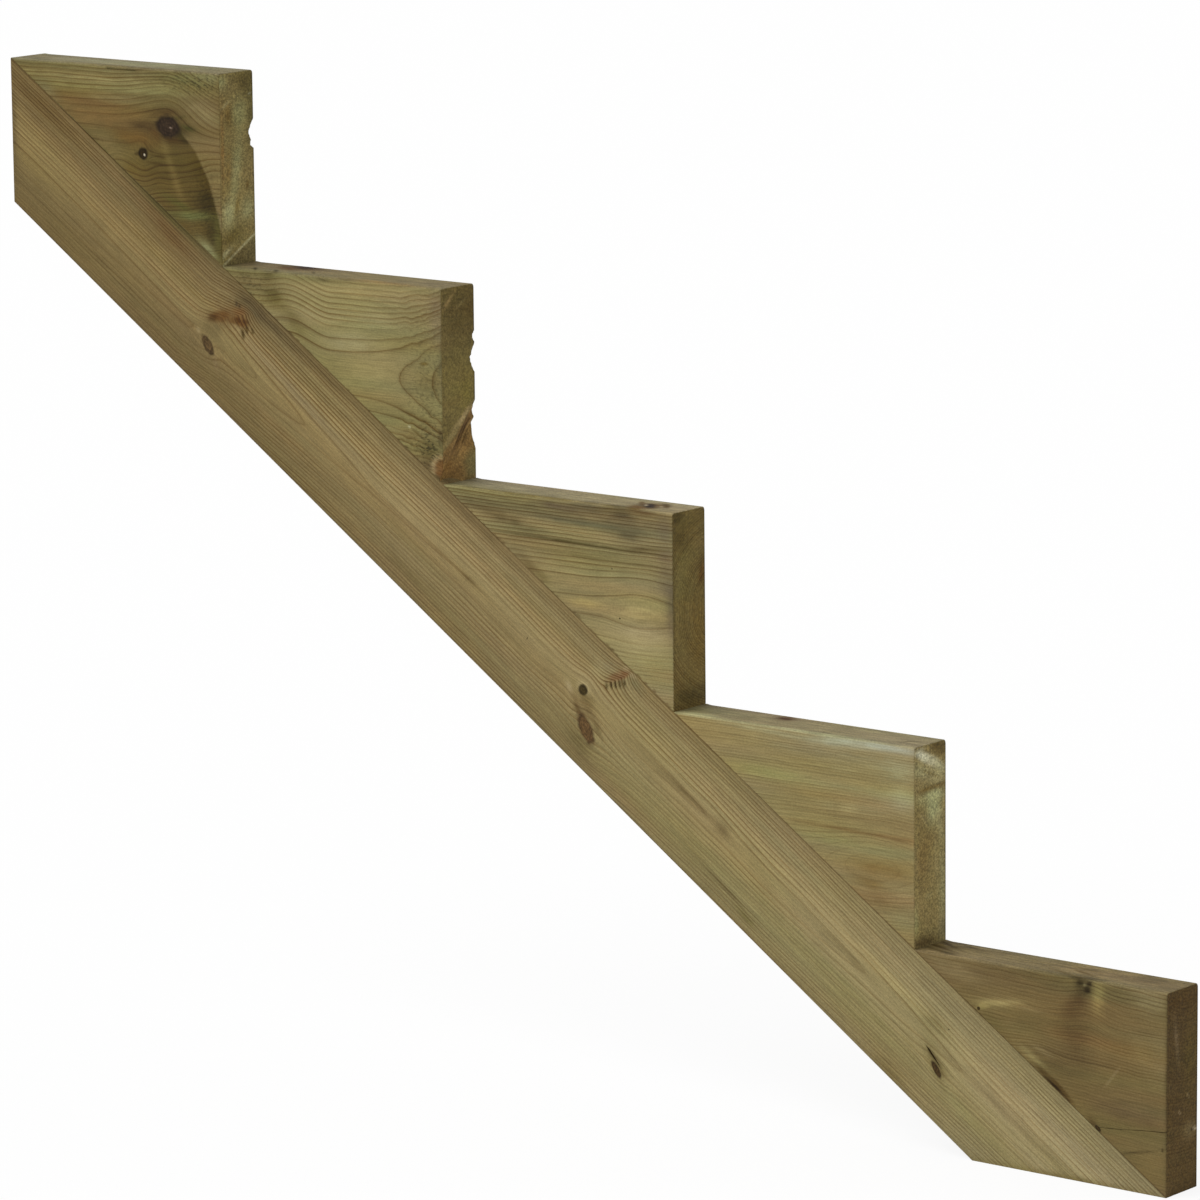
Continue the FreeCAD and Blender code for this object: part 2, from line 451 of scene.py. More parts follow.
def wood(name, sawn):
    """Treated softwood on a planed face along the grain, or on a sawn face across it."""
    make = Wiring(name)
    place = make.field("grain", "Vector")
    rough = make.field("rough")
    lines = ring_lines(make, place)
    if sawn:
        shade, relief, gloss = sawn_surface(make, place, rough)
    else:
        shade, relief, gloss = planed_surface(make, place, rough, lines)
    rings = make.mix(lines, (1.0, 1.0, 1.0, 1.0), LATE_WOOD)
    colour = make.mix(1.0, make.field("end_colour" if sawn else "colour", "Vector"), rings, "MULTIPLY")
    colour = make.mix(1.0, with_knots(make, place, colour), shade, "MULTIPLY")
    make.set(Base_Color=colour, Roughness=gloss, Specular_IOR_Level=0.12)
    depth = SAWN_RELIEF if sawn else PLANED_RELIEF
    bump = make.node("Bump", {"Strength": 0.6, "Distance": depth, "Height": relief})
    make.set(Normal=bump.outputs["Normal"])
    return make.material


def steel(name):
    """Dull grey zinc on the screws."""
    make = Wiring(name)
    place = make.node("TexCoord").outputs["Object"]
    cloud = make.node("TexNoise", {"Vector": place, "Scale": 900.0, "Detail": 3.0}).outputs["Fac"]
    tint = make.between(cloud, 0.3, 0.7)
    light, dark = ((*linear(colour), 1.0) for colour in ((176, 174, 166), (138, 136, 128)))
    make.set(Base_Color=make.mix(tint, dark, light), Roughness=make.between(cloud, 0.3, 0.7, 0.52, 0.34))
    make.set(Metallic=1.0)
    return make.material


WOOD = [wood("planed_wood", False), wood("sawn_wood", True)]
STEEL = [steel("zinc_steel")]


# Screws, and the holes that they fill

def screw_places():
    """Top of each screw's head, its direction and its length. The screw in the level cut is last."""
    seat = math.hypot(RISE, GOING)
    along = [SLOPE_LENGTH - DEPTH / math.tan(PITCH) - FOOT_END]
    for step in STEPS[1:]:
        middle = (len(STEPS) - step) * seat + GOING * math.cos(PITCH) - SCREW_UPHILL
        along += [middle - SCREW_SPACING / 2, middle + SCREW_SPACING / 2]
    below = np.array([DECK_X, 0, TOTAL_RISE]) - OFF_PITCH * DEPTH
    places = [(below + DOWN_PITCH * distance, OFF_PITCH, DEPTH + SCREW_BITE) for distance in along]
    low, high = (np.array(corner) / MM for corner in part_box("foot_screw"))
    head = np.array([(low[0] + high[0]) / 2, 0, low[2]])
    return places + [(head, np.array([0, 0, 1]), high[2] - low[2])]


def lathe(heights, radii, head, way):
    """Closed round body that goes from a head along a way. Radii has a row for each height."""
    count = radii.shape[1]
    angles = np.arange(count) * 2 * math.pi / count
    side = np.array([0, 1, 0])
    other = np.cross(way, side)
    out = np.cos(angles)[:, None] * side + np.sin(angles)[:, None] * other
    rings = radii[:, :, None] * out + heights[:, None, None] * way
    ends = np.stack([heights[0] * way, heights[-1] * way])
    points = head + np.concatenate([rings.reshape(-1, 3), ends])
    here = np.arange(count)
    there = (here + 1) % count
    last = (len(heights) - 1) * count
    start = np.stack([there, here, np.full(count, len(points) - 2)], axis=1)
    end = np.stack([last + here, last + there, np.full(count, len(points) - 1)], axis=1)
    return points, hoops(len(heights), count).tolist() + start.tolist() + end.tolist()


def together(bodies):
    """Points and faces of several closed bodies as one list of each."""
    points, faces = [], []
    for body_points, body_faces in bodies:
        first = sum(len(group) for group in points)
        points.append(body_points)
        faces += [[first + corner for corner in face] for face in body_faces]
    return np.concatenate(points), faces


def screw_form(head, way, length):
    """Countersunk screw with a star drive, a plain shank and a thread down to its point."""
    around = 24
    turn = np.arange(around) / around
    wave = np.cos(2 * math.pi * DRIVE_POINTS * turn)
    star = (DRIVE_ACROSS + DRIVE_WAIST + (DRIVE_ACROSS - DRIVE_WAIST) * wave) / 4
    rim = SCREW_HEAD - 2 * SCREW_PLAY
    crest = SCREW_SHANK - SCREW_PLAY
    plain = 0.4 * length
    threaded = np.arange(plain, length - 0.3, THREAD_PITCH / 6)
    phase = (threaded[:, None] / THREAD_PITCH - turn) % 1
    ridge = np.clip(1 - np.abs(phase - 0.5) / 0.25, 0, 1)
    ridge = ridge * smooth(plain, plain + THREAD_PITCH, threaded)[:, None]
    taper = np.clip((length - threaded) / SCREW_POINT, 0.02, 1)[:, None]
    heights = np.concatenate([[DRIVE_DEPTH, 0, 0, 0.35, SCREW_HEAD - SCREW_SHANK, plain - 2], threaded])
    rounds = np.array([rim - 0.2, rim - 0.35, crest, crest])[:, None] * np.ones(around)
    thread = (THREAD_ROOT + (crest - THREAD_ROOT) * ridge) * taper
    return lathe(heights, np.concatenate([[star, star], rounds, thread]), head, way)


def hole_form(head, way, length):
    """Countersunk hole, from just outside the wood."""
    around, outside = 40, 2.0
    heights = np.array([-outside, SCREW_HEAD - SCREW_SHANK, length - SCREW_POINT, length])
    radii = np.array([SCREW_HEAD + outside, SCREW_SHANK, SCREW_SHANK, 0.01])
    return lathe(heights, np.repeat(radii[:, None], around, axis=1), head, way)


def screws():
    """The nine screws in the underside, as one piece, and the one in the level cut."""
    *under, foot = screw_places()
    pieces = [("long_screws", "block_screws", under), ("short_screw", "foot_screw", [foot])]
    for name, node, group in pieces:
        points, faces = together([screw_form(*place) for place in group])
        mesh = build_mesh(name, points, faces, np.zeros(len(faces), int), STEEL)
        place_piece(mesh, node)


def cutter(name, points, faces):
    """Object that cuts its form out of boards and leaves sawn wood."""
    return added(name, build_mesh(name, points, faces, np.ones(len(faces), int), WOOD))


def slit(name, origin, axes, line, depth):
    """Cutter for a crack in a board's front, along a line of (along, down, width)."""
    out = FACE - 1
    rows = []
    for along, down, width in line:
        half = 0.7 * width
        rows += [(along, out, down - half), (along, FACE + depth, down), (along, out, down + half)]
    last = len(rows) - 1
    faces = [(0, 1, 2), (last, last - 1, last - 2)]
    for row in range(0, last - 2, 3):
        faces += [(row + a, row + 3 + a, row + 3 + b, row + b) for a, b in ((0, 1), (1, 2), (2, 0))]
    return cutter(name, origin + np.array(rows) @ axes, faces)


# Colours of the boards

def wood_colour(colour):
    """Colour as the wood looks on a screen, made linear for its material."""
    return np.clip(linear(colour) - GLARE, 0.002, 1)


def covered(colours, mask, colour, shades):
    """Colours under one that is laid over them where a mask is 1, given as it looks."""
    return colours + mask[:, None] * (wood_colour(colour) * shades - colours)


def mottled(seed, along, down, deep):
    """Patchy shade that treated wood has, browner here and greener there."""
    shade = 1 + 0.07 * noise(seed, along / 60, down / 14, deep / 25)
    shade = shade + 0.05 * noise(seed + 3, along / 14, down / 6, deep / 9)
    red = 1 + 0.07 * noise(seed + 1, along / 90, down / 10, deep / 25)
    blue = 1 + 0.10 * noise(seed + 2, along / 75, down / 13, deep / 25)
    return np.stack([shade * red, shade, shade * blue], axis=1)


def with_stains(colours, shades, along, across, stains, share=1.0):
    """Colours under spots with broken rims. Each spot is given the colour that it looks."""
    broken = 1 + 0.3 * noise(5, along / 9, across / 3.5)
    for middle, reach, tilt, colour, *edge in stains:
        mask = np.clip(spot(along, across, middle, reach, tilt, *edge) * broken, 0, 1) * share
        colours = covered(colours, mask, colour, shades)
    return colours


def on_front(deep):
    """Share that stains on the front have, from 1 there to 0 behind the middle of the board."""
    return 1 - smooth(-8, 12, deep)


def ladder(start, end, count, reach, tilt, colour):
    """Row of short marks as stains, from a start to an end."""
    places = zip(np.linspace(start[0], end[0], count), np.linspace(start[1], end[1], count))
    return [(place, reach, tilt, colour, 2) for place in places]


def knot_fields(along, across, deep, knots):
    """Distance from the nearest knot, up to 4 of its sizes, and its colour. Later knots lie on top."""
    distance = np.full(len(along), 4.0)
    heart = np.zeros((len(along), 3))
    ragged = 0.13 * noise(7, along / 3, across / 3, deep / 9)
    for knot in knots:
        rim = from_knot(along, across, deep, knot) + ragged
        nearer = (rim < distance) | (rim < 1)
        distance = np.where(nearer, rim, distance)
        heart[nearer] = wood_colour(knot[3])
    return distance, heart


def ring_fields(rings, places, normals):
    """Ring numbers at places, the width of a ring on the surface and the places in straight grain."""
    step = 0.4
    here, bent = rings(*places)
    slope = np.stack([(rings(*(places + step * axis[:, None]))[0] - here) / step for axis in np.eye(3)])
    slope = slope - normals * (slope * normals).sum(axis=0)
    width = np.clip(1 / np.maximum(1e-3, np.linalg.norm(slope, axis=0)), 0.7, 30)
    return {"ring": here, "width": width, "grain": np.stack([places[0], bent, places[2]], axis=1)}


def evened(colours, width, late, contrast):
    """Colours made lighter where close rings would darken them, so that they look as given."""
    cover = late / width * (1 - np.exp(-width / late))
    dark = 1 - cover[:, None] * (contrast * sum(YEARS) / 2)[:, None] * (1 - np.array(LATE_WOOD[:3]))
    return colours / np.clip(dark, 0.3, 1)


# Bearer: places are measured along the pitch line from its upper end, and square down from it

# Knots: middle, half length and half height, tilt and colour
BEARER_KNOTS = [
    ((327, 70), (10.5, 5.0), 20, (84, 67, 43)),
    ((822, 48.5), (5.2, 4.8), 0, (62, 52, 30)),
    ((843, 75), (15.5, 6.8), 27, (94, 72, 45)),
    ((1283, 68.8), (8.4, 2.9), 22, (66, 51, 31)),
    ((751, 51), (0.9, 2.2), 10, (58, 42, 26)),
    ((1273, 31.7), (1.3, 1.2), 0, (84, 76, 50)),
]
# Branches that run out on the face and draw the rings up: middle, half length, tilt, pull and reach
BEARER_BRANCHES = [
    ((334, 31), 28, -45, 9.0, 11.0),
    ((847, 14), 19, -58, 9.0, 9.0),
]
# Stains: middle, reach, tilt and colour, and how hard the rim is if it is harder than 1
BEARER_STAINS = [
    ((238, 14), (34, 11), 0, (112, 90, 55)),
    ((60, 12), (50, 10), 0, (112, 92, 56)),
    ((380, 7), (36, 7), 0, (106, 92, 60)),
    ((342, 9), (12, 6), -30, (92, 79, 50)),
    ((225, 1), (60, 4), 0, (92, 82, 48)),
    ((450, 42), (90, 6), 3, (137, 120, 84)),
    ((334, 31), (25, 8), -43, (114, 91, 55)),
    ((341, 21), (9, 5), -30, (126, 95, 56)),
    ((323, 40.5), (13, 5.5), -45, (104, 74, 40), 2),
    ((318, 46), (5.5, 3.0), -50, (78, 51, 25), 2),
    ((346, 27), (10, 5.2), -20, (104, 76, 42), 2),
    ((342, 29), (3.4, 2.2), 0, (76, 50, 25), 2),
    ((350, 24.5), (4, 2.2), -30, (84, 58, 30), 2),
    ((338, 33), (5, 2.4), -30, (104, 78, 44), 2),
    ((355, 29), (4.5, 1.7), 45, (82, 65, 34), 2),
    ((354, 35.5), (5, 2.0), 45, (80, 64, 34), 2),
    ((361, 26), (3.4, 1.4), 40, (88, 72, 40), 2),
    ((333, 17.5), (3, 1.6), 60, (76, 64, 42), 2),
    ((337, 17), (2.4, 1.4), 60, (80, 66, 42), 2),
    ((326, 52), (4, 8), 25, (120, 104, 68)),
    ((310.5, 65.5), (3.0, 2.0), 30, (146, 129, 90), 2),
    ((343, 78), (7, 2.5), 40, (128, 110, 74)),
    ((835, 59), (12, 7), 30, (118, 101, 66)),
    ((822, 48.5), (8.4, 7.6), 0, (160, 144, 102), 3),
    ((809, 56), (6, 3), 30, (156, 141, 103)),
    ((831, 14), (13, 4), -58, (134, 119, 83)),
    ((848, 3), (4, 3.4), -60, (152, 138, 100), 2),
    ((856, 3), (5, 2.6), -24, (146, 132, 96), 2),
    ((844, 14), (13, 4.0), -58, (126, 98, 64), 2),
    ((849, 9), (6, 2.6), -60, (120, 88, 56), 2),
    ((863, 7), (8, 5), 0, (126, 116, 80)),
    *ladder((839.5, 28.5), (853, 14.5), 5, (3.4, 1.5), 50, (74, 62, 33)),
    ((826, 66), (10, 3), 32, (98, 78, 48)),
    ((852, 66), (10, 3), 24, (110, 94, 60)),
    ((1003, 50), (8, 7), 30, (120, 105, 69)),
    ((1150, 50), (40, 3.0), 0, (134, 119, 80)),
    ((992, 85.5), (18, 1.3), 0, (106, 86, 50)),
    ((1033, 89.6), (24, 1.5), 2, (88, 65, 37)),
    ((1062, 95.5), (12, 3.0), 5, (112, 100, 58)),
    ((1281, 65), (17, 6), 22, (112, 99, 60)),
    ((1286, 70), (12, 4.4), 22, (98, 77, 47)),
    ((1275, 61.6), (11, 2.3), 16, (74, 60, 34), 2),
    ((1423, 60), (96, 3.5), -34, (122, 108, 69)),
    ((1246, 101), (20, 6), 0, (119, 105, 67)),
    ((1316, 78), (12, 5), 10, (146, 134, 92)),
    ((674, 50.6), (12, 1.9), 1, (112, 95, 60)),
    ((956, 49.5), (30, 1.7), 0, (114, 99, 63)),
    ((826, 53), (10, 5), 0, (108, 92, 58)),
    ((843, 88), (18, 11), 20, (112, 97, 62)),
    ((825, 24), (10, 7), -50, (150, 136, 95)),
    ((356, 9), (14, 8), 0, (98, 84, 55)),
    ((322, 55), (11, 8), 0, (114, 98, 62)),
    ((612, 91), (34, 4), 0, (114, 98, 63)),
    ((40, 57), (66, 4), 56, (106, 90, 58)),
    ((1300, 77), (4, 2.4), 30, (104, 92, 54), 2),
    ((1303, 75), (10, 3.6), 26, (158, 147, 104)),
    ((1318, 79), (14, 5), 10, (150, 141, 98)),
    ((1260, 50), (14, 5), 30, (142, 129, 88)),
    ((1260, 38), (16, 8), 0, (134, 121, 82)),
    ((1150, 78), (260, 14), 0, (137, 127, 84)),
]
# Places along the bearer, and its colour and the level of its pith there
BEARER_ALONG = [0, 300, 345, 600, 1000, 1450]
BEARER_COLOURS = [
    (121, 103, 66), (123, 106, 69), (125, 108, 70), (137, 120, 81), (140, 125, 85), (147, 134, 97),
]
BEARER_CUT_COLOUR = (112, 98, 62)
PITH_DOWN = [70, 69, 58, 54, 51, 52]
# Places where the pith wanders from that line, and how far, which only the inner rings follow
PITH_ALONG = [345, 453, 540, 683, 760, 860, 980, 1060, 1181, 1300]
PITH_OFF = [0, 1, 2, -3, 2, 1, -1, 3, -1.5, 0]
LOW_CONTRAST = [0.4, 0.5, 0.6, 0.9, 0.8, 0.8]  # of the rings below the pith, as a share of those above
RING_WIDTH = 2.6
PITH_DEPTH = 21.5  # behind the front
# Ring that shows over the pith. Where it reaches a whole number, a ring ends in the middle of the front
RING_ALONG = [0, 140, 300, 387, 453, 540, 683, 760, 860, 980, 1020, 1100, 1181, 1340, 1500]
RING_SHOWN = [0.2, 0.45, 0.95, 2, 3, 3.92, 4, 4.05, 4.66, 5, 5.31, 5.4, 6, 7.3, 7.8]
# Lighter or darker bands along the bearer: distance down, reach, places along and how much lighter
BEARER_BANDS = [
    (4.5, 5, [150, 210, 300, 450, 500, 560, 600, 670, 720, 1250, 1320],
     [0, -2, -1, -2, -1, -1, -2, -2, -1, -0.5, -1]),
    (35, 9, [0, 300, 400, 560, 640, 1450], [1, 0.6, 2, 2, 1, 1]),
    (51, 5, [0, 560, 640, 860, 900, 1250, 1350], [1, 1, 0, 0, -0.8, -0.3, -1.5]),
    (62, 6, [540, 580, 790, 860], [0, -1, -1, 0]),
    (72, 7, [790, 880, 1450], [0, 0.8, 0.8]),
    # painted shade along the bearer's lower edge
    (108, 2.4, [0, 1450], [-1.6, -1.6]),
]
# Places where the rings of the bearer show less: middle, reach, tilt and how much less
BEARER_QUIET = [
    ((170, 52), (170, 12), 0, 0.4),
    ((450, 58), (110, 18), 0, 0.45),
    ((1350, 62), (110, 26), 0, 0.45),
    ((328, 37), (22, 8), -43, 0.7),
    ((1130, 47), (80, 17), 0, 0.5),
]
# Slit beside the lowest knot: places along and down, and its width there
BEARER_SLIT = [
    (1264, 58.7, 0.3), (1268, 59.8, 1.7), (1274, 61.5, 1.6), (1281, 63.3, 0.8), (1286, 65.0, 0.2),
]
SLIT_DEPTH = 3.0
BEARER_DETAILS = [(295, 370), (805, 870), (1295, 1375)]  # stretches that have knots


def near_branches(along, down):
    """Pull on the rings beside the branches, in millimetres."""
    pull = 0 * along
    for middle, half, tilt, most, reach in BEARER_BRANCHES:
        length, side = turned(along, down, middle, tilt)
        pull = pull + most * np.exp(-np.abs(side) / reach - (length / half) ** 4)
    return pull


def from_pith(along, down):
    """Distance below the pith of the bearer."""
    below = down - np.interp(along, BEARER_ALONG, PITH_DOWN)
    return below - np.interp(along, PITH_ALONG, PITH_OFF) * np.exp(-((below / 16) ** 2))


def bearer_rings(along, down, deep):
    """Growth ring number over the bearer, and the places in straight grain."""
    bent = round_knots(along, down, BEARER_KNOTS, 0.75) + near_branches(along, down)
    bent = bent + 1.0 * noise(11, along / 140, down / 40, deep / 60)
    bent = bent + 0.3 * noise(12, along / 45, down / 14, deep / 30)
    radius = np.hypot(from_pith(along, bent), PITH_DEPTH - (deep - FACE))
    return (radius - PITH_DEPTH) / RING_WIDTH + np.interp(along, RING_ALONG, RING_SHOWN), bent


def bearer_contrast(along, down, deep, width):
    """How clearly the growth rings of the bearer show."""
    below = from_pith(along, down)
    low = np.interp(along, BEARER_ALONG, LOW_CONTRAST)
    contrast = 1 + 0.2 * noise(15, along / 120, down / 25, deep / 40) + 0.06 * near_branches(along, down)
    contrast = contrast + 0.25 * spot(along, down, (460, 24), (160, 26)) - 0.2 * smooth(450, 600, along)
    contrast = contrast * (1 + (low - 1) * smooth(-4, 8, below)) * (0.7 + 0.3 * smooth(2, 10, down))
    contrast = contrast * np.minimum(1.1, (16 / width) ** 0.6)
    contrast = contrast * (1 + 0.3 * noise(19, along / 70, down / 9, deep / 20) * smooth(0, 12, below))
    for middle, reach, tilt, less in BEARER_QUIET:
        contrast = contrast * (1 - less * spot(along, down, middle, reach, tilt))
    return contrast


def bearer_colours(along, down, deep):
    """Colours of the bearer's planed faces."""
    channels = [np.interp(along, BEARER_ALONG, channel) for channel in np.transpose(BEARER_COLOURS)]
    shades = 0.5 + 0.5 * mottled(16, along, down, deep)
    colours = wood_colour(np.stack(channels, axis=1)) * shades
    pale = smooth(24, 44, down) * (1 - smooth(58, 80, down))
    pale = pale * np.interp(along, [0, 250, 450, 800, 950], [1.8, 1.6, 0.5, 0.5, 1])
    colours = stained(colours, pale, (1.12, 1.12, 1.10))
    dull = smooth(66, 104, down) * np.interp(along, [200, 320, 800, 900], [1, 1.6, 1.6, 1])
    colours = stained(colours, dull, (0.90, 0.89, 0.86))
    for level, reach, places, amounts in BEARER_BANDS:
        band = np.exp(-(((down - level) / reach) ** 2)) * np.interp(along, places, amounts)
        colours = stained(colours, band, (1.15, 1.16, 1.18))
    colours = with_stains(colours, shades, along, down, BEARER_STAINS, on_front(deep))
    seam = (1 - smooth(0.1, 1.2, down)) * (0.8 + 0.4 * noise(18, along / 30))
    return stained(colours, np.clip(seam, 0, 1), (0.70, 0.66, 0.58))


def bearer_fields(along, deep, down, normals):
    """Growth rings, knots and colours of the bearer."""
    fields = ring_fields(bearer_rings, np.stack([along, down, deep]), normals[[0, 2, 1]])
    width = fields["width"]
    contrast = bearer_contrast(along, down, deep, width)
    late = np.clip(0.62 * width**0.4, 0.6, 1.6)
    cut = wood_colour(BEARER_CUT_COLOUR) * mottled(17, along, down, deep)
    # Painted shade: the slit's walls are darkened to stand for the shade inside the narrow slit.
    slit_shade = spot(along, down, (1278, 62), (24, 8), 16, 4)
    fields["knot"], fields["heart"] = knot_fields(along, down, deep, BEARER_KNOTS)
    return {
        **fields,
        "contrast": contrast,
        "late": late,
        "colour": evened(bearer_colours(along, down, deep), width, late, contrast),
        "end_colour": stained(cut, slit_shade, (0.36, 0.32, 0.27)),
        "rough": np.full(len(along), 0.08),
        "fuzz": np.full(len(along), 1.6),
    }


def bearer_stations():
    """Places of the sections along the bearer, closer together at the knots."""
    places = np.arange(0, SLOPE_LENGTH, 1.0)
    near = np.zeros(len(places))
    for low, high in BEARER_DETAILS:
        near = np.maximum(near, smooth(low - 15, low, places) * (1 - smooth(high, high + 15, places)))
    spacing = 4.4 - 2.9 * near
    counts = np.concatenate([[0], np.cumsum(1 / spacing)[:-1]])
    numbers = np.linspace(0, counts[-1], int(counts[-1]) + 1)
    return np.interp(numbers, counts, places * SLOPE_LENGTH / places[-1])


def bearer(cutters):
    """Bearer with its plumb cut, level cut and screw holes."""
    rows, across = 84, 12
    side, down = section_grid(THICKNESS / 2, 0, DEPTH, BEARER_ARRIS, BEARER_ARRIS, rows, across)
    sections = []
    for place in bearer_stations():
        upper = max(0, 1 - place / UPPER_LEAN)
        lower = max(0, 1 - (SLOPE_LENGTH - place) / LOWER_LEAN)
        along = place + upper * down * math.tan(PITCH) - lower * down / math.tan(PITCH)
        sections.append((along, side, down))
    points, faces, marks = swept(sections)
    top = np.array([DECK_X, 0, TOTAL_RISE])
    axes = np.stack([DOWN_PITCH, [0, 1, 0], -OFF_PITCH])
    mesh = build_mesh("bearer_board", top + points @ axes, faces.tolist(), np.minimum(marks, 1), WOOD)
    gap = slit("slit", top, axes, BEARER_SLIT, SLIT_DEPTH)
    finish_board(drilled(mesh, cutters + [gap]), top, axes, bearer_fields, "bearer")
    bpy.data.objects.remove(gap)


# Step blocks: places are measured from the block's upper tip, along the tread and down from it

TOP_STEP = STEPS[-1]
# Crack in the front of one block: places along and down, and its width there
CRACK_STEP = 1
CRACK_DEPTH = 4.0
CRACK = [(184, 121.5, 0.2), (196, 120.6, 0.4), (210, 119.4, 0.3), (225, 117.5, 0.4), (252, 115.3, 0.5)]
BLOCK_KNOTS = {
    1: [
        ((65, 40), (1.7, 1.6), 0, (62, 50, 28)),
        ((183.5, 122.5), (3.6, 1.8), 38, (54, 43, 26)),
    ],
    2: [],
    3: [((193, 96), (1.2, 0.8), 0, (70, 62, 38)), ((185, 54), (0.9, 0.9), 0, (78, 70, 46))],
    4: [],
    5: [
        ((189, 50.3), (14.8, 10.0), 4, (54, 43, 33)),
        # painted highlight on the big knot's heart
        ((192, 51), (1.2, 1.0), 0, (128, 110, 94)),
        ((158.5, 76), (6.0, 5.6), 0, (48, 38, 22)),
        # painted highlight on the small knot
        ((160.4, 77), (1.3, 1.1), 0, (196, 184, 158)),
    ],
}
# Looks of the blocks, from the lowest up
BLOCK_LOOKS = {
    "face": [(114, 98, 62), (140, 124, 82), (136, 123, 82), (132, 121, 78), (108, 92, 53)],
    "tread": [(122, 108, 74), (136, 125, 91), (143, 132, 98), (124, 112, 78), (133, 124, 95)],
    "riser": [(77, 63, 40), (118, 105, 67), (101, 88, 53), (99, 87, 53), (111, 99, 62)],
    "seam": [(92, 75, 47), (106, 86, 54), (116, 101, 65), (104, 90, 56), (100, 90, 53)],
    "teeth": [0.6, 0.4, 2.6, 1.2, 0.9],  # how far the seam's teeth reach
    "contrast": [0.65, 0.5, 0.75, 0.7, 0.85],  # how clearly the rings show
    "riser_contrast": [0.5, 0.2, 0.8, 0.2, 0.15],
    "late": [0.75, 0.85, 0.9, 1.3, 1.2],  # width of the dark part of a ring
    "sawn": [0.8, 0.9, 0.65, 0.75, 0.9],  # how rough the riser is
    "streaks": [0.26, 0.18, 0.18, 0.18, 0.18],  # how streaky the tread is
}
# Pith of each block: down from its tread, and behind the middle of the board
BLOCK_PITHS = {1: (-32, 8), 2: (106, 28), 3: (87.5, 40), 4: (82, 18.61), 5: (60, 12)}
PITH_AT_RISER = 10.0  # depth of the fourth block's pith behind its front, at the riser
# Distances from the pith, and the numbers of the growth rings there
BLOCK_RING_LINES = {
    1: ([0, 275], [0, 100]),
    2: ([0, 210], [0, 100]),
    3: ([0, 62.95, 66.95, 69.3, 137], [-27, 0, 1, 2, 32]),
    4: ([0, 21.5, 36.4, 45.1, 51, 57.2, 61.2, 64.8, 68.5, 72.4, 76.5, 80.5, 84.3, 88, 120], range(15)),
    5: ([0, 35, 45, 70, 120], [0, 8, 11, 19, 38]),
}
# Places where the rings of a block show more, or less: middle, reach and how much more
BLOCK_CLEAR = {
    4: [((95, 40), (40, 26), 0.35), ((225, 90), (30, 40), 0.5)],
    5: [((110, 50), (90, 22), -0.35), ((195, 92), (48, 30), 0.35), ((225, 140), (40, 36), -0.4)],
}
# Rough places on the front of a block: middle, reach and how rough
BLOCK_ROUGH = {
    4: [((30, 14), (28, 14), 0.6), ((240, 90), (30, 65), 0.5), ((234, 141), (14, 15), 0.8)],
    5: [((225, 10), (36, 12), 0.9), ((235, 120), (20, 40), 0.5)],
}
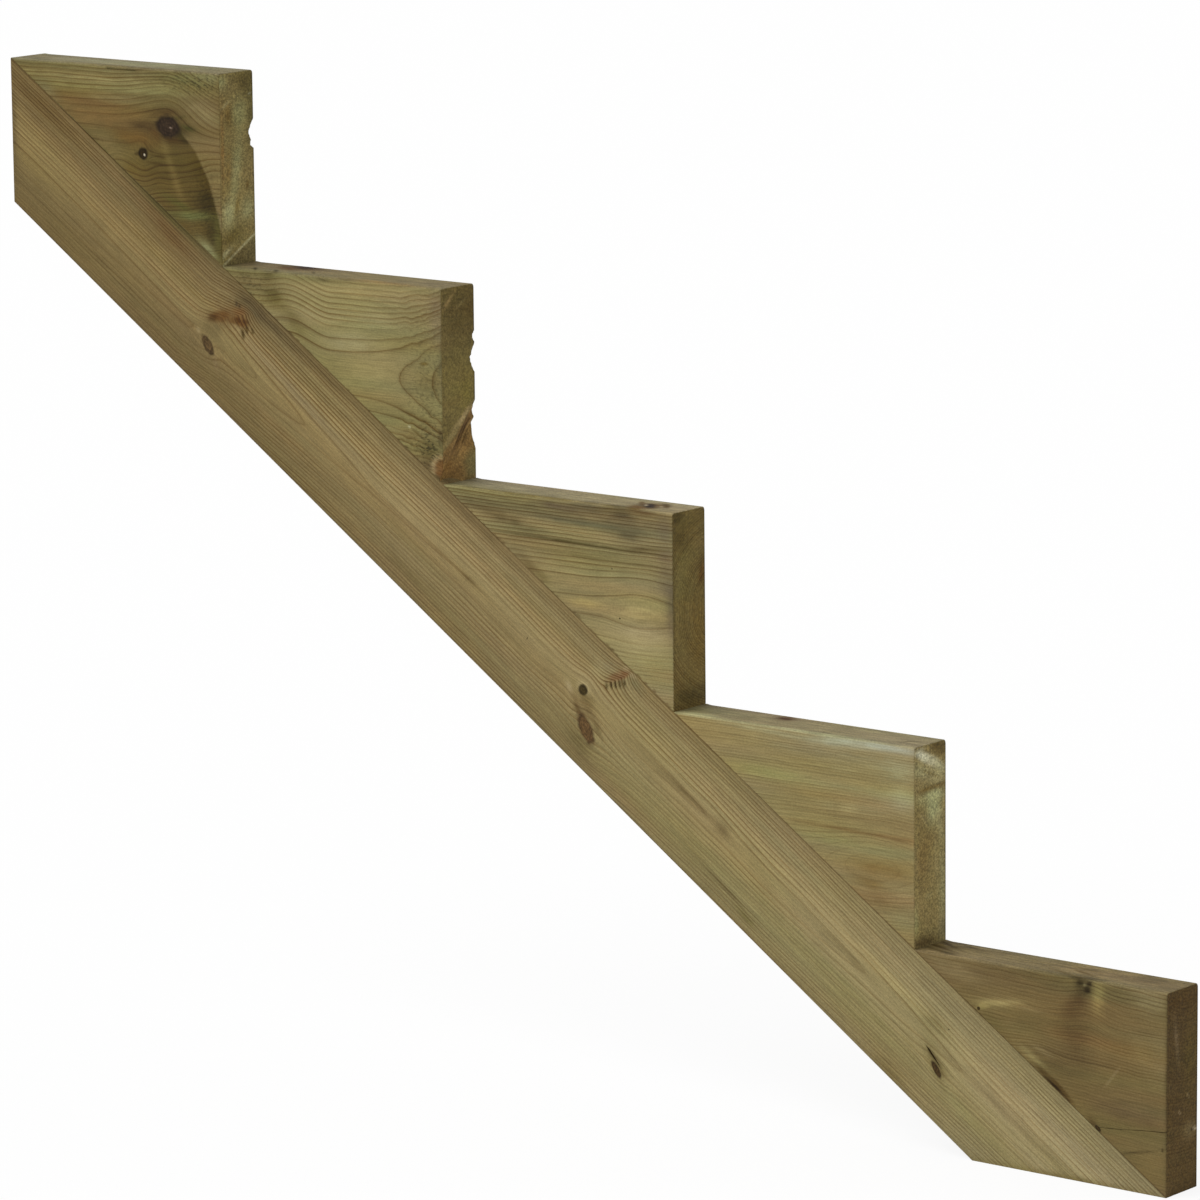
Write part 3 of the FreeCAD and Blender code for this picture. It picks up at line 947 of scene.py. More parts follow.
# Stains: on the front along and down, on the tread along and through, on the riser through and down
FACE_STAINS = {
    1: [
        ((120, 10), (110, 10), 0, (104, 90, 57)),
        ((235, 6), (18, 12), 0, (131, 116, 79)),
        ((38, 10), (28, 7), 10, (126, 113, 75)),
        ((183, 14), (6, 13), 5, (140, 124, 76)),
        ((156, 31), (8, 15), 25, (86, 69, 43)),
        ((165, 16), (7, 10), 25, (78, 63, 39)),
        ((169, 5), (9, 6.5), 20, (80, 68, 43), 2),
        ((172.5, 8.5), (3.2, 2.8), 0, (50, 41, 26), 2),
        ((165.5, 3.5), (3.2, 2.2), 0, (62, 52, 32), 2),
        ((174.5, 3), (2.6, 2.2), 0, (58, 48, 30), 2),
        ((170, 4.6), (1.6, 1.4), 0, (118, 105, 72), 2),
        ((246, 131), (1.0, 1.6), 0, (64, 52, 32), 2),
        ((78, 34), (20, 8), -8, (118, 104, 68)),
        ((70, 37), (7, 3), -20, (150, 136, 87), 2),
        ((86, 32), (21, 3.2), -8, (150, 136, 90)),
        ((115, 33), (14, 2), 2, (128, 112, 74)),
        ((133, 68), (13, 2.2), 22, (142, 126, 86)),
        ((116, 74), (10, 2.0), 28, (130, 112, 72)),
        ((185, 55), (40, 18), 8, (118, 98, 62)),
        ((150, 45), (20, 10), 0, (114, 94, 58)),
        ((150, 72), (34, 14), -10, (103, 87, 55)),
        ((161, 47), (15, 20), 14, (98, 80, 50)),
        ((243, 58), (13, 20), 0, (122, 107, 71)),
        ((95, 48), (14, 6), 20, (120, 102, 66)),
        ((197, 78), (12, 1.2), -52, (130, 112, 76), 2),
        ((222, 136.5), (20, 0.9), -13, (82, 69, 43)),
        ((205, 105), (46, 9), 10, (102, 86, 56)),
        ((228, 56), (20, 8), 60, (124, 107, 69)),
        ((251, 85), (2.5, 90), 0, (90, 76, 48)),
        ((118, 72), (14, 3), 30, (136, 122, 80)),
        ((141, 92.5), (23, 3.6), 36, (84, 67, 38), 3),
        ((143, 96), (16, 1.8), 36, (48, 37, 18), 3),
        ((178, 119), (6, 4), 40, (92, 74, 46)),
    ],
    2: [
        ((160, 14), (110, 7), 2, (143, 132, 92)),
        ((232, 22), (22, 10), 0, (151, 144, 106)),
        ((110, 4), (60, 2.6), 2, (158, 153, 114)),
        ((167, 4), (24, 4), 0, (160, 157, 124)),
        ((215, 3), (60, 3.5), 1, (174, 174, 144)),
        ((200, 43), (70, 5), 1, (146, 136, 94)),
        ((238, 46), (14, 9), 0, (154, 147, 108)),
        ((110, 40), (40, 5), 2, (142, 132, 86)),
        ((185, 60), (60, 8), 1, (132, 112, 72)),
        ((200, 78), (70, 2.0), 1, (125, 102, 64)),
        ((160, 88), (40, 5), 2, (142, 130, 82)),
        ((225, 92), (35, 5), -4, (140, 130, 88)),
        ((216, 107), (30, 8), 4, (130, 108, 66)),
        ((205, 120), (18, 6), 8, (126, 104, 62)),
        ((182, 59), (42, 5), 0, (152, 138, 95)),
        ((182, 26), (28, 6), 0, (150, 136, 94)),
        ((132, 1), (26, 4), 0, (150, 138, 99)),
        ((212, 133), (36, 8), 8, (126, 108, 68)),
        ((238, 149), (16, 7), 0, (138, 127, 86)),
    ],
    3: [
        ((125, 12), (140, 9), 1, (114, 103, 68)),
        ((195, 5), (13, 6), 0, (80, 72, 50)),
        ((130, 6), (22, 3), 1, (104, 90, 66)),
        ((242, 40), (9, 40), 0, (116, 103, 74)),
        ((160, 18), (60, 3), 1, (100, 94, 66)),
        ((150, 26), (120, 4), 1, (146, 130, 88)),
        ((155, 36), (100, 1.3), 1, (76, 66, 36)),
        ((62, 20), (42, 6), 14, (108, 95, 61)),
        ((168, 3), (32, 5), 0, (108, 96, 62)),
        ((222, 34), (24, 3), -6, (106, 92, 57)),
        ((216, 144), (16, 8), 10, (140, 130, 90)),
        ((165, 46.5), (90, 1.6), 1, (112, 99, 62)),
        ((150, 42), (100, 3), 1, (128, 115, 74)),
        ((219, 2), (15, 3), 0, (110, 92, 60)),
        ((108, 67), (9, 4), 32, (106, 94, 52)),
        ((150, 62), (60, 8), 0, (142, 129, 87)),
        ((156, 87), (20, 4), 2, (158, 142, 88)),
        ((214, 87), (32, 11), 0, (156, 143, 99)),
        ((249, 80), (6, 34), 0, (108, 96, 70)),
        ((205, 125), (40, 18), 0, (148, 137, 95)),
        ((238, 150), (20, 18), 0, (137, 126, 85)),
        ((217, 112), (26, 13), 0, (158, 145, 103)),
        ((94, 60), (15, 5), 33, (113, 99, 63)),
        ((203, 22), (19, 8), 0, (102, 92, 63)),
        ((156, 3), (17, 4), 0, (103, 93, 65)),
    ],
    4: [
        ((30, 12), (26, 11), 14, (114, 102, 64)),
        ((64, 30), (22, 5), 8, (114, 101, 58)),
        ((150, 12), (80, 9), 0, (146, 134, 90)),
        ((120, 30), (60, 12), 0, (150, 138, 95)),
        ((170, 78), (36, 16), 0, (146, 135, 90)),
        ((236, 82), (18, 16), 0, (120, 109, 67)),
        ((165, 34), (34, 10), 0, (150, 139, 98)),
        ((84, 42), (17, 8), 30, (113, 102, 61)),
        ((60, 22), (15, 9), 25, (105, 94, 54)),
        ((54, 4), (10, 6), 0, (107, 96, 58)),
        ((146, 57), (28, 10), 0, (150, 140, 98)),
        ((250, 45), (4, 40), 0, (106, 96, 63)),
        ((118, 1), (22, 4), 0, (110, 99, 63)),
        ((249, 131), (5, 11), 0, (96, 84, 53)),
        ((235, 153), (11, 9), 35, (92, 78, 50)),
        ((235, 140), (12, 15), -30, (100, 89, 54)),
        ((215, 133), (16, 8), 35, (126, 112, 70)),
        ((246, 25), (10, 26), 0, (122, 110, 76)),
        ((213, 123), (1.2, 1.1), 0, (188, 180, 142), 2),
        ((230.5, 66.5), (5, 1.6), -4, (110, 92, 47), 2),
        ((222, 128), (8, 1.3), 30, (98, 84, 48)),
        ((249, 155), (12, 12), 20, (148, 132, 93), 3),
        ((250.5, 157), (9.8, 10.4), 20, (110, 82, 46), 3),
        ((246, 167), (8, 3.4), 30, (70, 53, 30), 2),
    ],
    5: [
        ((90, 4), (110, 4), 1, (124, 114, 72)),
        ((100, 13), (120, 4), 1, (140, 129, 82)),
        ((120, 20), (110, 4), 0, (134, 123, 76)),
        ((215, 7), (36, 7), 4, (114, 108, 66)),
        ((232, 36), (24, 12), 16, (134, 118, 77)),
        ((110, 44), (56, 12), 3, (122, 98, 56)),
        ((100, 34), (36, 3), 3, (112, 89, 52)),
        ((150, 62), (26, 8), 4, (115, 87, 46)),
        ((196, 60), (13, 4), 6, (96, 70, 37)),
        ((174, 57), (8, 6), 30, (108, 77, 40)),
        ((186, 38), (14, 3.4), -8, (86, 66, 38)),
        ((151.5, 77), (4, 1.7), 0, (72, 58, 33), 2),
        ((168, 49.4), (9, 1.2), 2, (82, 64, 36)),
        ((178, 49.4), (5, 2.6), 2, (60, 46, 26), 2),
        ((189, 62), (9, 2.6), 4, (84, 62, 34)),
        ((182, 78), (14, 1.2), 6, (88, 70, 38)),
        ((176, 84), (16, 1.2), 4, (90, 72, 40)),
        ((232, 117), (15, 14), 40, (80, 70, 41)),
        ((240, 141), (9, 16), 0, (80, 71, 43)),
        ((211, 50), (10, 2.4), 10, (66, 72, 34)),
        ((200, 42), (10, 2.0), -8, (80, 74, 40)),
        ((127, 83), (14, 8), 30, (120, 105, 66)),
        ((122, 29), (44, 4), 2, (126, 111, 69)),
        ((190, 51), (25, 14), 8, (80, 65, 38)),
        ((158, 51), (20, 4), 0, (86, 68, 39)),
        ((217, 61), (8, 4), 24, (90, 76, 43)),
        ((206, 57), (13, 6), 18, (66, 56, 30), 2),
        ((238, 4), (18, 5), 0, (124, 119, 80)),
        ((44, 26), (15, 6), 30, (118, 107, 70)),
        ((114, 69), (18, 8), 25, (121, 103, 63)),
        ((195, 94), (4, 26), -22, (132, 114, 70)),
        ((150, 90), (30, 9), 12, (108, 90, 48)),
        ((215, 127), (24, 4), -2, (124, 127, 78)),
        ((200, 118), (18, 4), 20, (104, 99, 54)),
        ((236, 158), (16, 5), 38, (152, 152, 112)),
        ((246, 140), (5, 22), 0, (112, 108, 68)),
        *ladder((118, 2.4), (150, 2.8), 9, (2.6, 0.8), 12, (70, 64, 34)),
    ],
}
TREAD_STAINS = {
    1: [
        ((24, 4), (24, 5), 6, (108, 94, 60)),
        ((166, -20), (16, 5), 10, (78, 66, 42)),
        ((60, 10), (40, 2.5), 4, (106, 92, 60)),
        ((14, 8), (18, 2.2), -27, (68, 56, 30)),
        ((14, -3), (19, 2.4), -20, (66, 52, 28)),
        ((20, -12.5), (17, 2.2), -14, (72, 60, 34)),
        ((35, 12), (10, 1.6), -15, (86, 72, 44)),
        ((112, 4), (22, 1.2), -4, (108, 94, 58)),
        ((112, -3), (22, 1.2), -4, (108, 94, 58)),
        ((152, 5.5), (17, 1.8), -12, (94, 80, 45)),
        ((156, -4.5), (19, 2.0), -20, (90, 74, 42)),
        ((147, -15), (17, 2.4), -16, (92, 76, 40)),
    ],
    2: [
        ((93, 12), (10, 9), 0, (72, 44, 16)),
        ((120, -21), (120, 3), 0, (156, 152, 114)),
        ((20, -18), (22, 5), 0, (164, 160, 122)),
        ((232, -4), (8, 2), 40, (100, 90, 60)),
    ],
    3: [
        ((211, -7), (14, 17), -28, (98, 77, 42), 2),
        ((199, 2), (10, 3), -48, (92, 71, 38), 2),
        ((212, -4), (12, 5.2), -51, (44, 32, 14), 2),
        ((207, -18), (9, 5), 0, (90, 64, 28), 2),
        ((223, 4), (12, 4), -48, (86, 69, 38), 2),
        ((207, -3), (4, 1.4), -51, (168, 156, 124), 2),
        ((222, -1), (3.4, 1.4), -51, (150, 138, 104), 2),
        ((188, -20), (14, 3.5), 0, (76, 68, 46)),
        ((100, -20), (100, 4), 0, (122, 107, 66)),
    ],
    4: [
        ((66, 11), (23, 12), 0, (72, 51, 25)),
        ((65, 15), (13, 8), 0, (46, 31, 14)),
        ((56, 2), (14, 7), -20, (92, 68, 34)),
        ((32, -15), (9, 1.8), -48, (58, 48, 26), 2),
        ((58, -17), (8, 1.8), -48, (66, 56, 31), 2),
        ((92, -6), (7, 1.6), -48, (80, 70, 43), 2),
        ((180, -18), (40, 4), 0, (132, 112, 68)),
    ],
    5: [
        ((140, -20), (90, 4), 0, (116, 104, 68)),
        ((120, 4), (100, 7), 3, (138, 134, 104)),
        ((16, 0), (24, 24), 0, (118, 109, 78)),
        ((125, -9), (46, 6), 0, (146, 139, 104)),
    ],
}
# Burnt patch on the front of the top block, and the pale foot of its riser
BURNT_BORDER = ([40, 56, 70, 95, 125, 150, 170], [190, 206, 221, 236, 246, 252, 258])  # down and along
BESIDE_BURNT = (130, 112, 72)
PALE_FOOT = (98, 88, 57)
PALE_FOOT_EDGE = (150, 143, 108)
# Wood in the splintered hollow
TORN_COLOUR = (112, 90, 55)
TORN_STAINS = [
    ((-4, 124), (27, 4.0), -41, (118, 104, 68), 2),
    ((8, 113), (10, 2.2), -44, (136, 119, 82), 2),
    ((7, 128), (18, 5.6), -56, (86, 65, 37), 2),
    ((3.5, 128), (17, 1.7), -56, (54, 39, 21), 2),
    ((11, 127), (13, 1.2), -56, (58, 42, 23), 2),
    ((13, 134), (8, 1.2), -56, (64, 47, 26), 2),
    ((-13, 157), (10, 9), -20, (112, 86, 49)),
    ((9, 148), (10, 4.4), -52, (128, 103, 62)),
    ((19, 157), (10, 15), 26, (104, 94, 60), 2),
]
RISER_STAINS = {
    1: [
        ((-8, 44), (2.4, 18), -8, (98, 83, 58)),
        ((12, 120), (8, 7), 0, (100, 86, 58)),
        # painted highlight beside the knot
        ((19, 120.5), (4, 1.1), 10, (150, 134, 106), 2),
        ((15, 120.5), (2.0, 1.6), 0, (56, 45, 28), 2),
        ((9, 91), (0.9, 3.0), -30, (124, 108, 78), 2),
        ((-3, 103), (0.9, 2.8), -45, (116, 100, 72), 2),
        ((0, 8), (30, 10), 0, (74, 59, 36)),
        ((-20, 110), (6, 40), 0, (76, 62, 38)),
        ((14, 60), (10, 30), 0, (82, 69, 40)),
    ],
    2: [
        ((-3, 12.5), (20, 4.2), 25, (178, 176, 148), 2),
        ((11, 20), (12, 4), 34, (152, 148, 114)),
        ((-10, 22), (18, 7), 14, (138, 131, 92)),
        ((12, 29), (10, 6), 10, (140, 133, 94)),
        ((2, 26), (14, 0.9), 22, (108, 96, 58), 2),
        ((4, 37.5), (22, 1.8), -3, (98, 80, 44)),
        ((5, 46), (15, 6), 0, (148, 145, 103), 2),
        ((6, 57), (10, 10), 20, (150, 150, 108)),
        ((14, 72), (4, 12), -20, (136, 128, 88)),
        ((-20, 94), (4, 8), 0, (130, 119, 80)),
        ((-12, 46), (9, 4), 20, (138, 130, 88)),
        ((-9, 62), (7, 1.0), 48, (146, 134, 92), 2),
        ((9, 100), (1.6, 32), -4, (132, 120, 80)),
        ((14, 96), (1.2, 24), -6, (128, 118, 78)),
        ((18, 126), (4.5, 38), 0, (124, 118, 82)),
        ((-10, 95), (12, 30), 0, (112, 95, 58)),
        ((-2, 128), (5, 3), 0, (128, 116, 76)),
        ((-20, 146), (4, 12), 0, (128, 122, 82)),
        ((18, 158), (5, 9), 0, (112, 104, 72)),
        ((-10, 166), (18, 5), 0, (78, 65, 42)),
        ((12, 4), (13, 7), 24, (88, 75, 45), 2),
    ],
    3: [
        ((-8, 60), (12, 46), 0, (106, 95, 56)),
        ((18, 56), (4, 10), 10, (86, 64, 34)),
        ((-16, 4), (10, 10), 0, (80, 71, 42)),
        ((-12, 24), (14, 10), 30, (90, 79, 46)),
        ((14, 110), (12, 30), 0, (104, 88, 49)),
        ((0, 160), (30, 9), 0, (82, 72, 44)),
        ((-22, 85), (3, 90), 0, (88, 77, 46)),
    ],
    4: [
        ((8, 22), (30, 26), 0, (83, 71, 42)),
        ((-12, 12), (10, 2.0), -40, (116, 98, 62)),
        ((4, 16), (8, 1.2), -30, (104, 92, 58)),
        ((-6, 84), (18, 22), 0, (105, 94, 55)),
        ((12, 92), (9, 18), 0, (104, 93, 51)),
    ],
    5: [
        ((-19, 66), (2.6, 40), 0, (116, 93, 54)),
        ((-20, 8), (7, 6), 0, (124, 120, 80)),
        ((12, 8), (13, 8), 0, (86, 75, 43)),
        ((18, 21), (1.6, 0.9), 0, (206, 200, 170), 2),
        ((5, 34), (9, 12), 10, (118, 112, 72)),
        ((-10, 38), (6, 11), 0, (96, 78, 43)),
        ((-14, 28), (6, 1.4), -32, (132, 122, 84)),
        ((-2, 92), (6, 40), 9, (122, 117, 78)),
        ((4, 35), (9, 12), 0, (115, 111, 74)),
        ((14, 13), (13, 12), 0, (86, 76, 45)),
        ((19, 40), (5, 24), 0, (90, 82, 51)),
        ((-12, 84), (4, 18), 4, (112, 95, 56)),
        ((-13, 124), (7, 11), 8, (138, 136, 96)),
        ((12, 122), (8, 10), 12, (124, 120, 83)),
        ((13, 101), (1.8, 4), 10, (88, 70, 37)),
        ((-1, 118), (2, 10), 14, (104, 92, 54)),
        ((-10, 145), (16, 6), -20, (94, 82, 47)),
        ((-18, 160), (8, 2.4), -30, (140, 133, 96)),
    ],
}


def look_of(step, name):
    """One of the looks of a step block."""
    return BLOCK_LOOKS[name][step - 1]


def block_bends(step, along, down):
    """How far the growth rings of one step block are bent, apart from its knots."""
    if step == 1:
        lift = patches(along, down, [((171, 20), (20, 38), 6), ((124, 64), (24, 16), 4)])
        return lift - 0.05 * (along - 125) + 0.6 * noise(38, along / 14, down / 8)
    if step == 3:
        return (87 - down) * 0.7 * spot(along, down, (216, 87), (36, 24))
    if step == 4:
        tip = 10 * (1 - smooth(82, 125, along)) + 3 * spot(along, down, (72, 20), (16, 60))
        return tip + 1.6 * smooth(190, 215, along) * noise(37, along / 7, down / 7)
    if step == 5:
        end = -20 * smooth(185, 262, along) * (1 - smooth(45, 80, down))
        low = 0.09 * (along - 180) + 1.6 * noise(36, along / 16, down / 14)
        return end + smooth(62, 84, down) * low - 0.15 * np.clip(down - 66, 0, 45)
    return 0 * along


def behind_pith(step, along, down, deep):
    """Distance behind the pith of one step block."""
    if step == 2:
        return deep - BLOCK_PITHS[step][1] + 6 * spot(along, down, (207, 107), (48, 40))
    if step == 4:
        depth = BLOCK_PITHS[step][1] - FACE
        near_riser = np.exp(-((np.abs(GOING - along) / 34) ** 1.2))
        return deep - FACE - np.sqrt(depth**2 - (depth**2 - PITH_AT_RISER**2) * near_riser)
    return deep - BLOCK_PITHS[step][1]


def block_rings(step):
    """Gives the growth ring number over one step block, and the places in straight grain."""

    def rings(along, down, deep):
        bent = round_knots(along, down, BLOCK_KNOTS[step], 0.7) + block_bends(step, along, down)
        bent = bent + 1.0 * noise(20 + step, along / 70, down / 30, deep / 30)
        bent = bent + 0.35 * noise(30 + step, along / 25, down / 10, deep / 20)
        radius = np.hypot(bent - BLOCK_PITHS[step][0], behind_pith(step, along, down, deep))
        return np.interp(radius, *BLOCK_RING_LINES[step]), bent

    return rings


def block_contrast(step, along, down, deep):
    """How clearly the growth rings of one step block show."""
    contrast = look_of(step, "contrast") * (1 + 0.35 * noise(40 + step, along / 60, down / 20, deep / 30))
    contrast = contrast + patches(along, down, BLOCK_CLEAR.get(step, []))
    if step == 1:
        contrast = contrast * (1 - 0.7 * smooth(66, 92, down))
    if step == 2:
        contrast = contrast * (1 - 0.5 * spot(along, down, (214, 107), (34, 14)))
    if step == 3:
        contrast = contrast + 0.2 * (1 - smooth(38, 56, down)) - 0.25 * smooth(104, 116, down)
        contrast = contrast + 0.4 * smooth(52, 60, down) * (1 - smooth(98, 108, down))
    tread = 0.45 + 0.55 * smooth(0.3, 2.5, down)
    riser = look_of(step, "riser_contrast")
    return np.where(on_riser(step, along, deep, down), riser, contrast * tread)


def on_riser(step, along, deep, down):
    """Whether places are on the riser of a block, or in wood that is torn out of it."""
    inside = np.abs(deep) < THICKNESS / 2 - 0.1
    torn = (step == HOLLOW_STEP) & (along > GOING - HOLLOW_DEPTH - 1) & (down > 95) & inside
    return (along > GOING - 0.45) | torn


def torn_side(deep, down):
    """Distance below the upper border of the torn hollow."""
    return (down - 123.5) * 0.75 + deep * 0.66


def burnt_patch(along, down):
    """Dark patch of the top block, left of a curved border, and the light wood right of it."""
    border = np.interp(down, *BURNT_BORDER)
    edge = 0.85 + 0.6 * np.exp(-(((border - along) / 16) ** 2))
    dark = smooth(border + 1.5, border - 1.5, along) * smooth(50, 86, down)
    light = smooth(border - 1.5, border + 1.5, along) * smooth(50, 62, down)
    return dark * smooth(130, 190, along) * edge, light


def riser_colours(step, along, down, deep):
    """Colours of the sawn riser of one step block."""
    light = 0.69 - 0.11 * smooth(60, 165, down)  # share of the front's light that falls on the risers
    shades = (0.5 + 0.5 * mottled(60 + step, along, down, deep)) / light[:, None]
    colours = wood_colour(look_of(step, "riser")) * shades
    colours = with_stains(colours, shades, deep, down, RISER_STAINS[step])
    # Painted shade: the riser is darkened, a little bluish, over its last 3 mm towards its far edge.
    colours = stained(colours, 0.8 * smooth(THICKNESS / 2 - 3, THICKNESS / 2, deep), (0.5, 0.5, 0.56))
    if step == HOLLOW_STEP:
        below = torn_side(deep, down)
        streak = 1 + 0.3 * noise(73, below / 1.6, (down - deep) / 28)
        torn = smooth(-0.5, 1.0, below + 1.2 * noise(74, deep / 5, down / 5))
        colours = covered(colours, torn, TORN_COLOUR, shades * streak[:, None])
        colours = with_stains(colours, shades, deep, down, TORN_STAINS)
    if step == TOP_STEP:
        below = (down - 157.6) * 0.87 + deep * 0.49
        colours = covered(colours, smooth(0, 2, below), PALE_FOOT, shades)
        colours = covered(colours, np.exp(-((below / 0.9) ** 2)), PALE_FOOT_EDGE, shades)
    return colours


def seam_share(step, along, deep, down):
    """Share of the seam's colour, in a thin line with ragged teeth."""
    ragged = noise(90 + step, along / 5, deep / 12) + 0.8 * noise(96 + step, along / 1.7, deep / 12)
    teeth = look_of(step, "teeth") * np.clip(ragged, 0, 1.2)
    return smooth(-0.9 - teeth, -0.5 - 0.8 * teeth, down - along * RISE / GOING)


def block_colours(step, along, down, deep):
    """Colours of the front, the back and the tread of one step block."""
    shades = mottled(50 + step, along, down, deep)
    front = on_front(deep)
    colours = wood_colour(look_of(step, "face")) * shades
    colours = with_stains(colours, shades, along, down, FACE_STAINS[step], front)
    if step == TOP_STEP:
        dark, light = burnt_patch(along, down)
        colours = stained(colours, dark * front, (0.70, 0.66, 0.52))
        colours = covered(colours, 0.7 * light * front, BESIDE_BURNT, shades)
    colours = covered(colours, seam_share(step, along, deep, down), look_of(step, "seam"), shades)
    above = wood_colour(look_of(step, "tread")) * shades
    above = with_stains(above, shades, along, deep, TREAD_STAINS[step])
    above = above * (1 + look_of(step, "streaks") * noise(95 + step, along / 16, deep / 2.6))[:, None]
    top = smooth(2.0, 0.4, down)[:, None]
    return colours * (1 - top) + above * top


def block_fields(step):
    """Gives the growth rings, knots, colours and rough patches of one step block."""

    def fields(along, deep, down, normals):
        found = ring_fields(block_rings(step), np.stack([along, down, deep]), normals[[0, 2, 1]])
        found["knot"], found["heart"] = knot_fields(along, down, deep, BLOCK_KNOTS[step])
        contrast = block_contrast(step, along, down, deep)
        late = np.full(len(along), look_of(step, "late"))
        if step == 4:  # its rings are wider towards the riser
            late = late + 1.2 * smooth(185, 215, along)
        rough = 0.05 + patches(along, down, BLOCK_ROUGH.get(step, []))
        return {
            **found,
            "contrast": contrast,
            "late": late,
            "colour": evened(block_colours(step, along, down, deep), found["width"], late, contrast),
            "end_colour": riser_colours(step, along, down, deep),
            "rough": np.where(on_riser(step, along, deep, down), look_of(step, "sawn"), rough),
            "fuzz": 1.3 + 1.2 * smooth(1.5, 0.3, down),
        }

    return fields


def round_cut(width, depth):
    """Radius of a round cut of so much width and depth."""
    return width * width / (8 * depth) + depth / 2


def broken_edges(step, along, deep, down):
    """Points of a block, moved in to where its far riser edge has broken out."""
    for drop, height, depth in EDGE_BITES.get(step, []):
        radius = round_cut(height, depth)
        out = ((along - GOING) + (deep - THICKNESS / 2)) / math.sqrt(2)
        room = np.clip(radius**2 - (down - drop) ** 2, 0, None)
        limit = radius - depth - np.sqrt(room)
        ragged = 0.8 * np.abs(noise(70, down / 2.0, deep / 4, along / 4))
        ragged = ragged + 1.1 * np.exp(-(((down - drop) / 3) ** 2))
        move = np.where((room > 0) & (out > limit), limit - out - ragged, 0) / math.sqrt(2)
        along = along + move
        deep = deep + move
    if step == HOLLOW_STEP:
        radius = round_cut(HOLLOW_WIDTH, HOLLOW_DEPTH)
        far = deep - THICKNESS / 2
        off = far * math.sin(HOLLOW_SLOPE) + (down - HOLLOW_DROP) * math.cos(HOLLOW_SLOPE)
        room = np.clip(radius**2 - off**2, 0, None)
        splinter = 1.1 * np.abs(noise(71, off / 2.4, down / 30, deep / 30))
        bump = 2.6 * spot(deep, down, (THICKNESS / 2, 117), (9, 3))
        limit = GOING + radius - HOLLOW_DEPTH - np.sqrt(room)
        limit = limit - np.where(np.abs(off) < HOLLOW_WIDTH / 2, splinter - bump, 0)
        along = np.where((room > 0) & (along > limit), limit, along)
    return along, deep


def step_block(step, cutters):
    """Triangular block with its eased tread edges, its sawn riser and its screw holes."""
    rows, across = 106, 28
    places = np.concatenate([np.linspace(0.5, GOING - SAWN_EDGE, 160), [GOING]])
    sections = []
    for place in places:
        inset = SAWN_EDGE if place == GOING else 0.0
        height = place * RISE / GOING
        arris = min(BLOCK_ARRIS, 0.6 * height)
        foot = min(0.4, 0.3 * height)
        side, down = section_grid(THICKNESS / 2 - inset, inset, height, arris, foot, rows, across)
        sections.append((np.full(side.shape, place), side, down))
    points, faces, marks = swept(sections)
    along, deep, down = points.T
    inside = (along == GOING) & (np.abs(deep) < THICKNESS / 2 - 1) & (down > 1) & (down < RISE - 1)
    sawn = 0.18 * (1 + noise(80 + step, deep / 3, down / 3))
    along, deep = broken_edges(step, along - np.where(inside, sawn, 0), deep, down)
    low, high = (np.array(corner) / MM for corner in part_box(f"step_block_{step}"))
    tip = np.array([low[0], 0, high[2]])
    axes = np.array([[1, 0, 0], [0, 1, 0], [0, 0, -1]])
    world = tip + np.stack([along, deep, down], axis=1) @ axes
    mesh = build_mesh(f"step_board_{step}", world, faces.tolist(), (marks == 2).astype(int), WOOD)
    cracks = [slit("crack", tip, axes, CRACK, CRACK_DEPTH)] if step == CRACK_STEP else []
    board = drilled(mesh, cutters + cracks)
    finish_board(board, tip, axes, block_fields(step), f"step_block_{step}")
    for crack in cracks:
        bpy.data.objects.remove(crack)


# Floor, light and camera

def floor():
    """Wide white floor that keeps a faint shadow."""
    mesh = bpy.data.meshes.new("floor")
    reach = 60.0
    corners = [(-reach, -reach, 0), (reach, -reach, 0), (reach, reach, 0), (-reach, reach, 0)]
    mesh.from_pydata(corners, [], [(0, 1, 2, 3)])
    make = Wiring("floor")
    make.set(Base_Color=(0.95, 0.95, 0.95, 1.0), Roughness=0.9, Specular_IOR_Level=0.1)
    path = make.node("LightPath").outputs
    seen = make.sum("MAXIMUM", path["Is Camera Ray"], path["Is Glossy Ray"])
    seen = make.sum("MAXIMUM", seen, path["Is Transmission Ray"])
    white = make.node("Emission", {"Color": (1, 1, 1, 1), "Strength": 1.0}).outputs[0]
    share = make.sum("MULTIPLY", seen, 0.88)  # the rest shows the shadow
    blend = make.node("MixShader", {0: share, 1: make.shader.outputs[0], 2: white})
    make.tree.links.new(blend.outputs[0], make.tree.nodes["Material Output"].inputs["Surface"])
    mesh.materials.append(make.material)
    piece = added("floor", mesh)


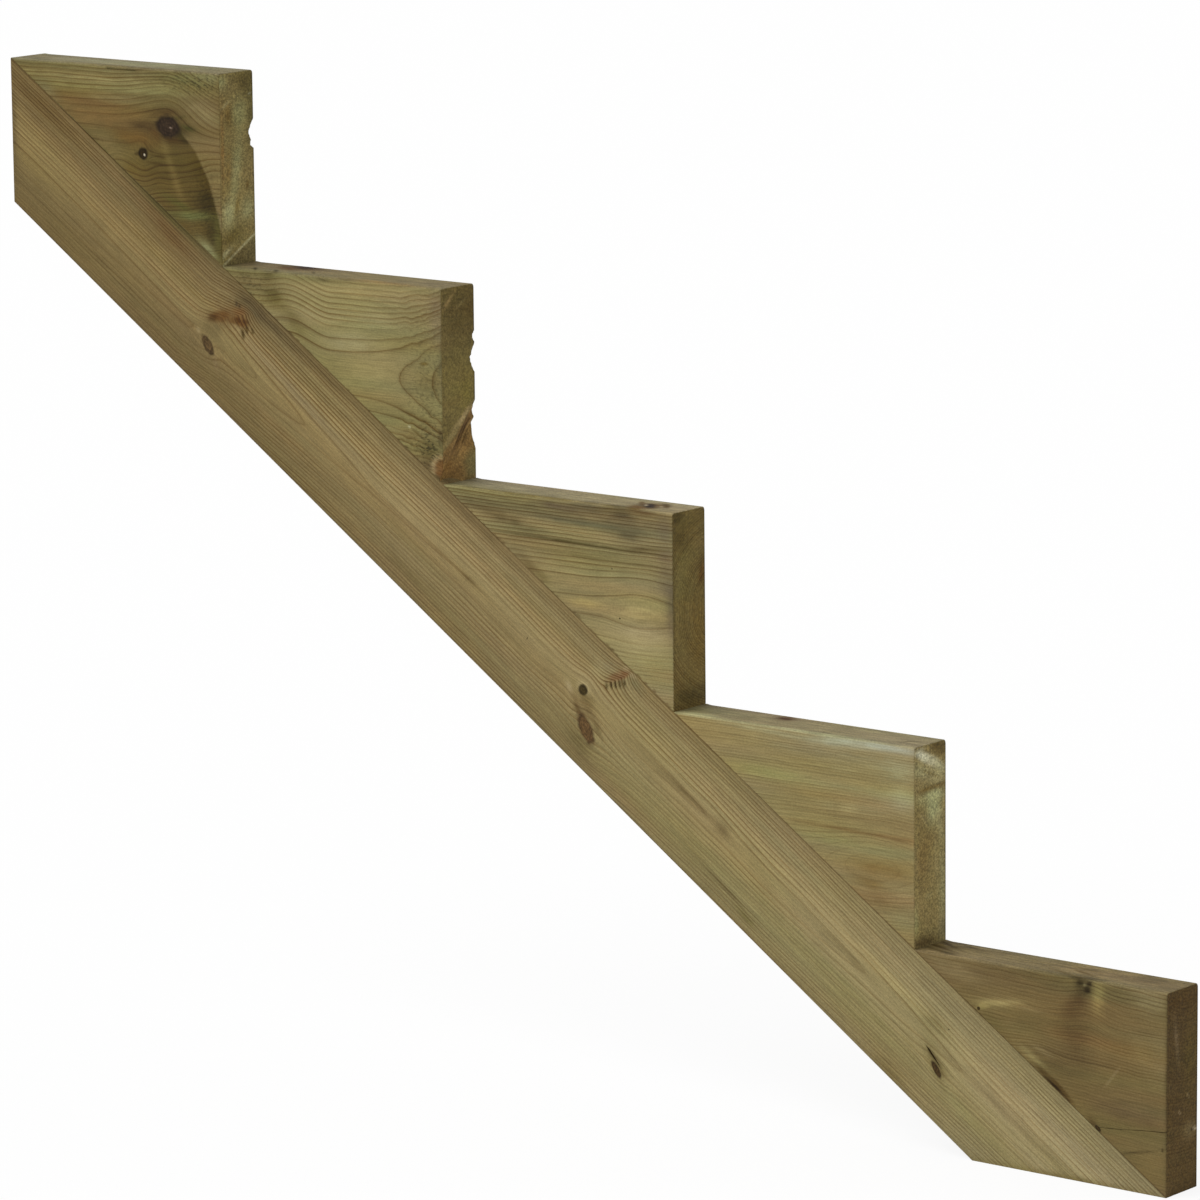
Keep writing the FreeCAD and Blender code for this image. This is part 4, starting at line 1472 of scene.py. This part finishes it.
def soft_sun(direction, spread, strength):
    """Even light from one side of the studio, with soft shadows."""
    light = bpy.data.lights.new("key", "SUN")
    light.angle = math.radians(spread)
    light.energy = strength
    piece = added("key", light)
    piece.rotation_euler = (-Vector(direction)).to_track_quat("-Z", "Y").to_euler()


def world_light(level):
    """Even light from all round, and a white background."""
    world = bpy.data.worlds.new("studio")
    world.use_nodes = True
    tree = world.node_tree
    path = tree.nodes.new("ShaderNodeLightPath")
    seen = tree.nodes.new("ShaderNodeMapRange")
    seen.inputs["To Min"].default_value = level
    seen.inputs["To Max"].default_value = 1.0
    tree.links.new(path.outputs["Is Camera Ray"], seen.inputs["Value"])
    tree.links.new(seen.outputs[0], tree.nodes["Background"].inputs["Strength"])
    tree.nodes["Background"].inputs["Color"].default_value = (1, 1, 1, 1)
    bpy.context.scene.world = world


# Camera: degrees round the part, above it and about the line of sight, then where it looks, in metres
VIEW_ANGLES = (38.657, 10.646, -0.572)
VIEW_AIM = (-0.500159, 0, 0.422247)
VIEW_DISTANCE = 5.650842
LENS = 198.87
SENSOR = 36.0


def camera():
    """Camera at the photograph's viewing angle."""
    azimuth, elevation, roll = (math.radians(angle) for angle in VIEW_ANGLES)
    level = math.cos(elevation)
    back = Vector((math.sin(azimuth) * level, -math.cos(azimuth) * level, math.sin(elevation)))
    right = (-back).cross(Vector((0, 0, 1))).normalized()
    up = right.cross(-back)
    across = right * math.cos(roll) + up * math.sin(roll)
    above = up * math.cos(roll) - right * math.sin(roll)
    data = bpy.data.cameras.new("camera")
    data.sensor_width = SENSOR
    data.lens = LENS
    piece = added("camera", data)
    turn = Matrix((across, above, back)).transposed().to_4x4()
    piece.matrix_world = Matrix.Translation(Vector(VIEW_AIM) + back * VIEW_DISTANCE) @ turn
    bpy.context.scene.camera = piece


screws()
holes = cutter("holes", *together([hole_form(*place) for place in screw_places()]))
bearer([holes])
for number in STEPS:
    step_block(number, [holes])
bpy.data.objects.remove(holes)
floor()
world_light(level=0.6)
soft_sun(direction=(-0.35, -0.45, 0.82), spread=40, strength=1.6)
camera()
bpy.context.scene.view_settings.view_transform = "Standard"
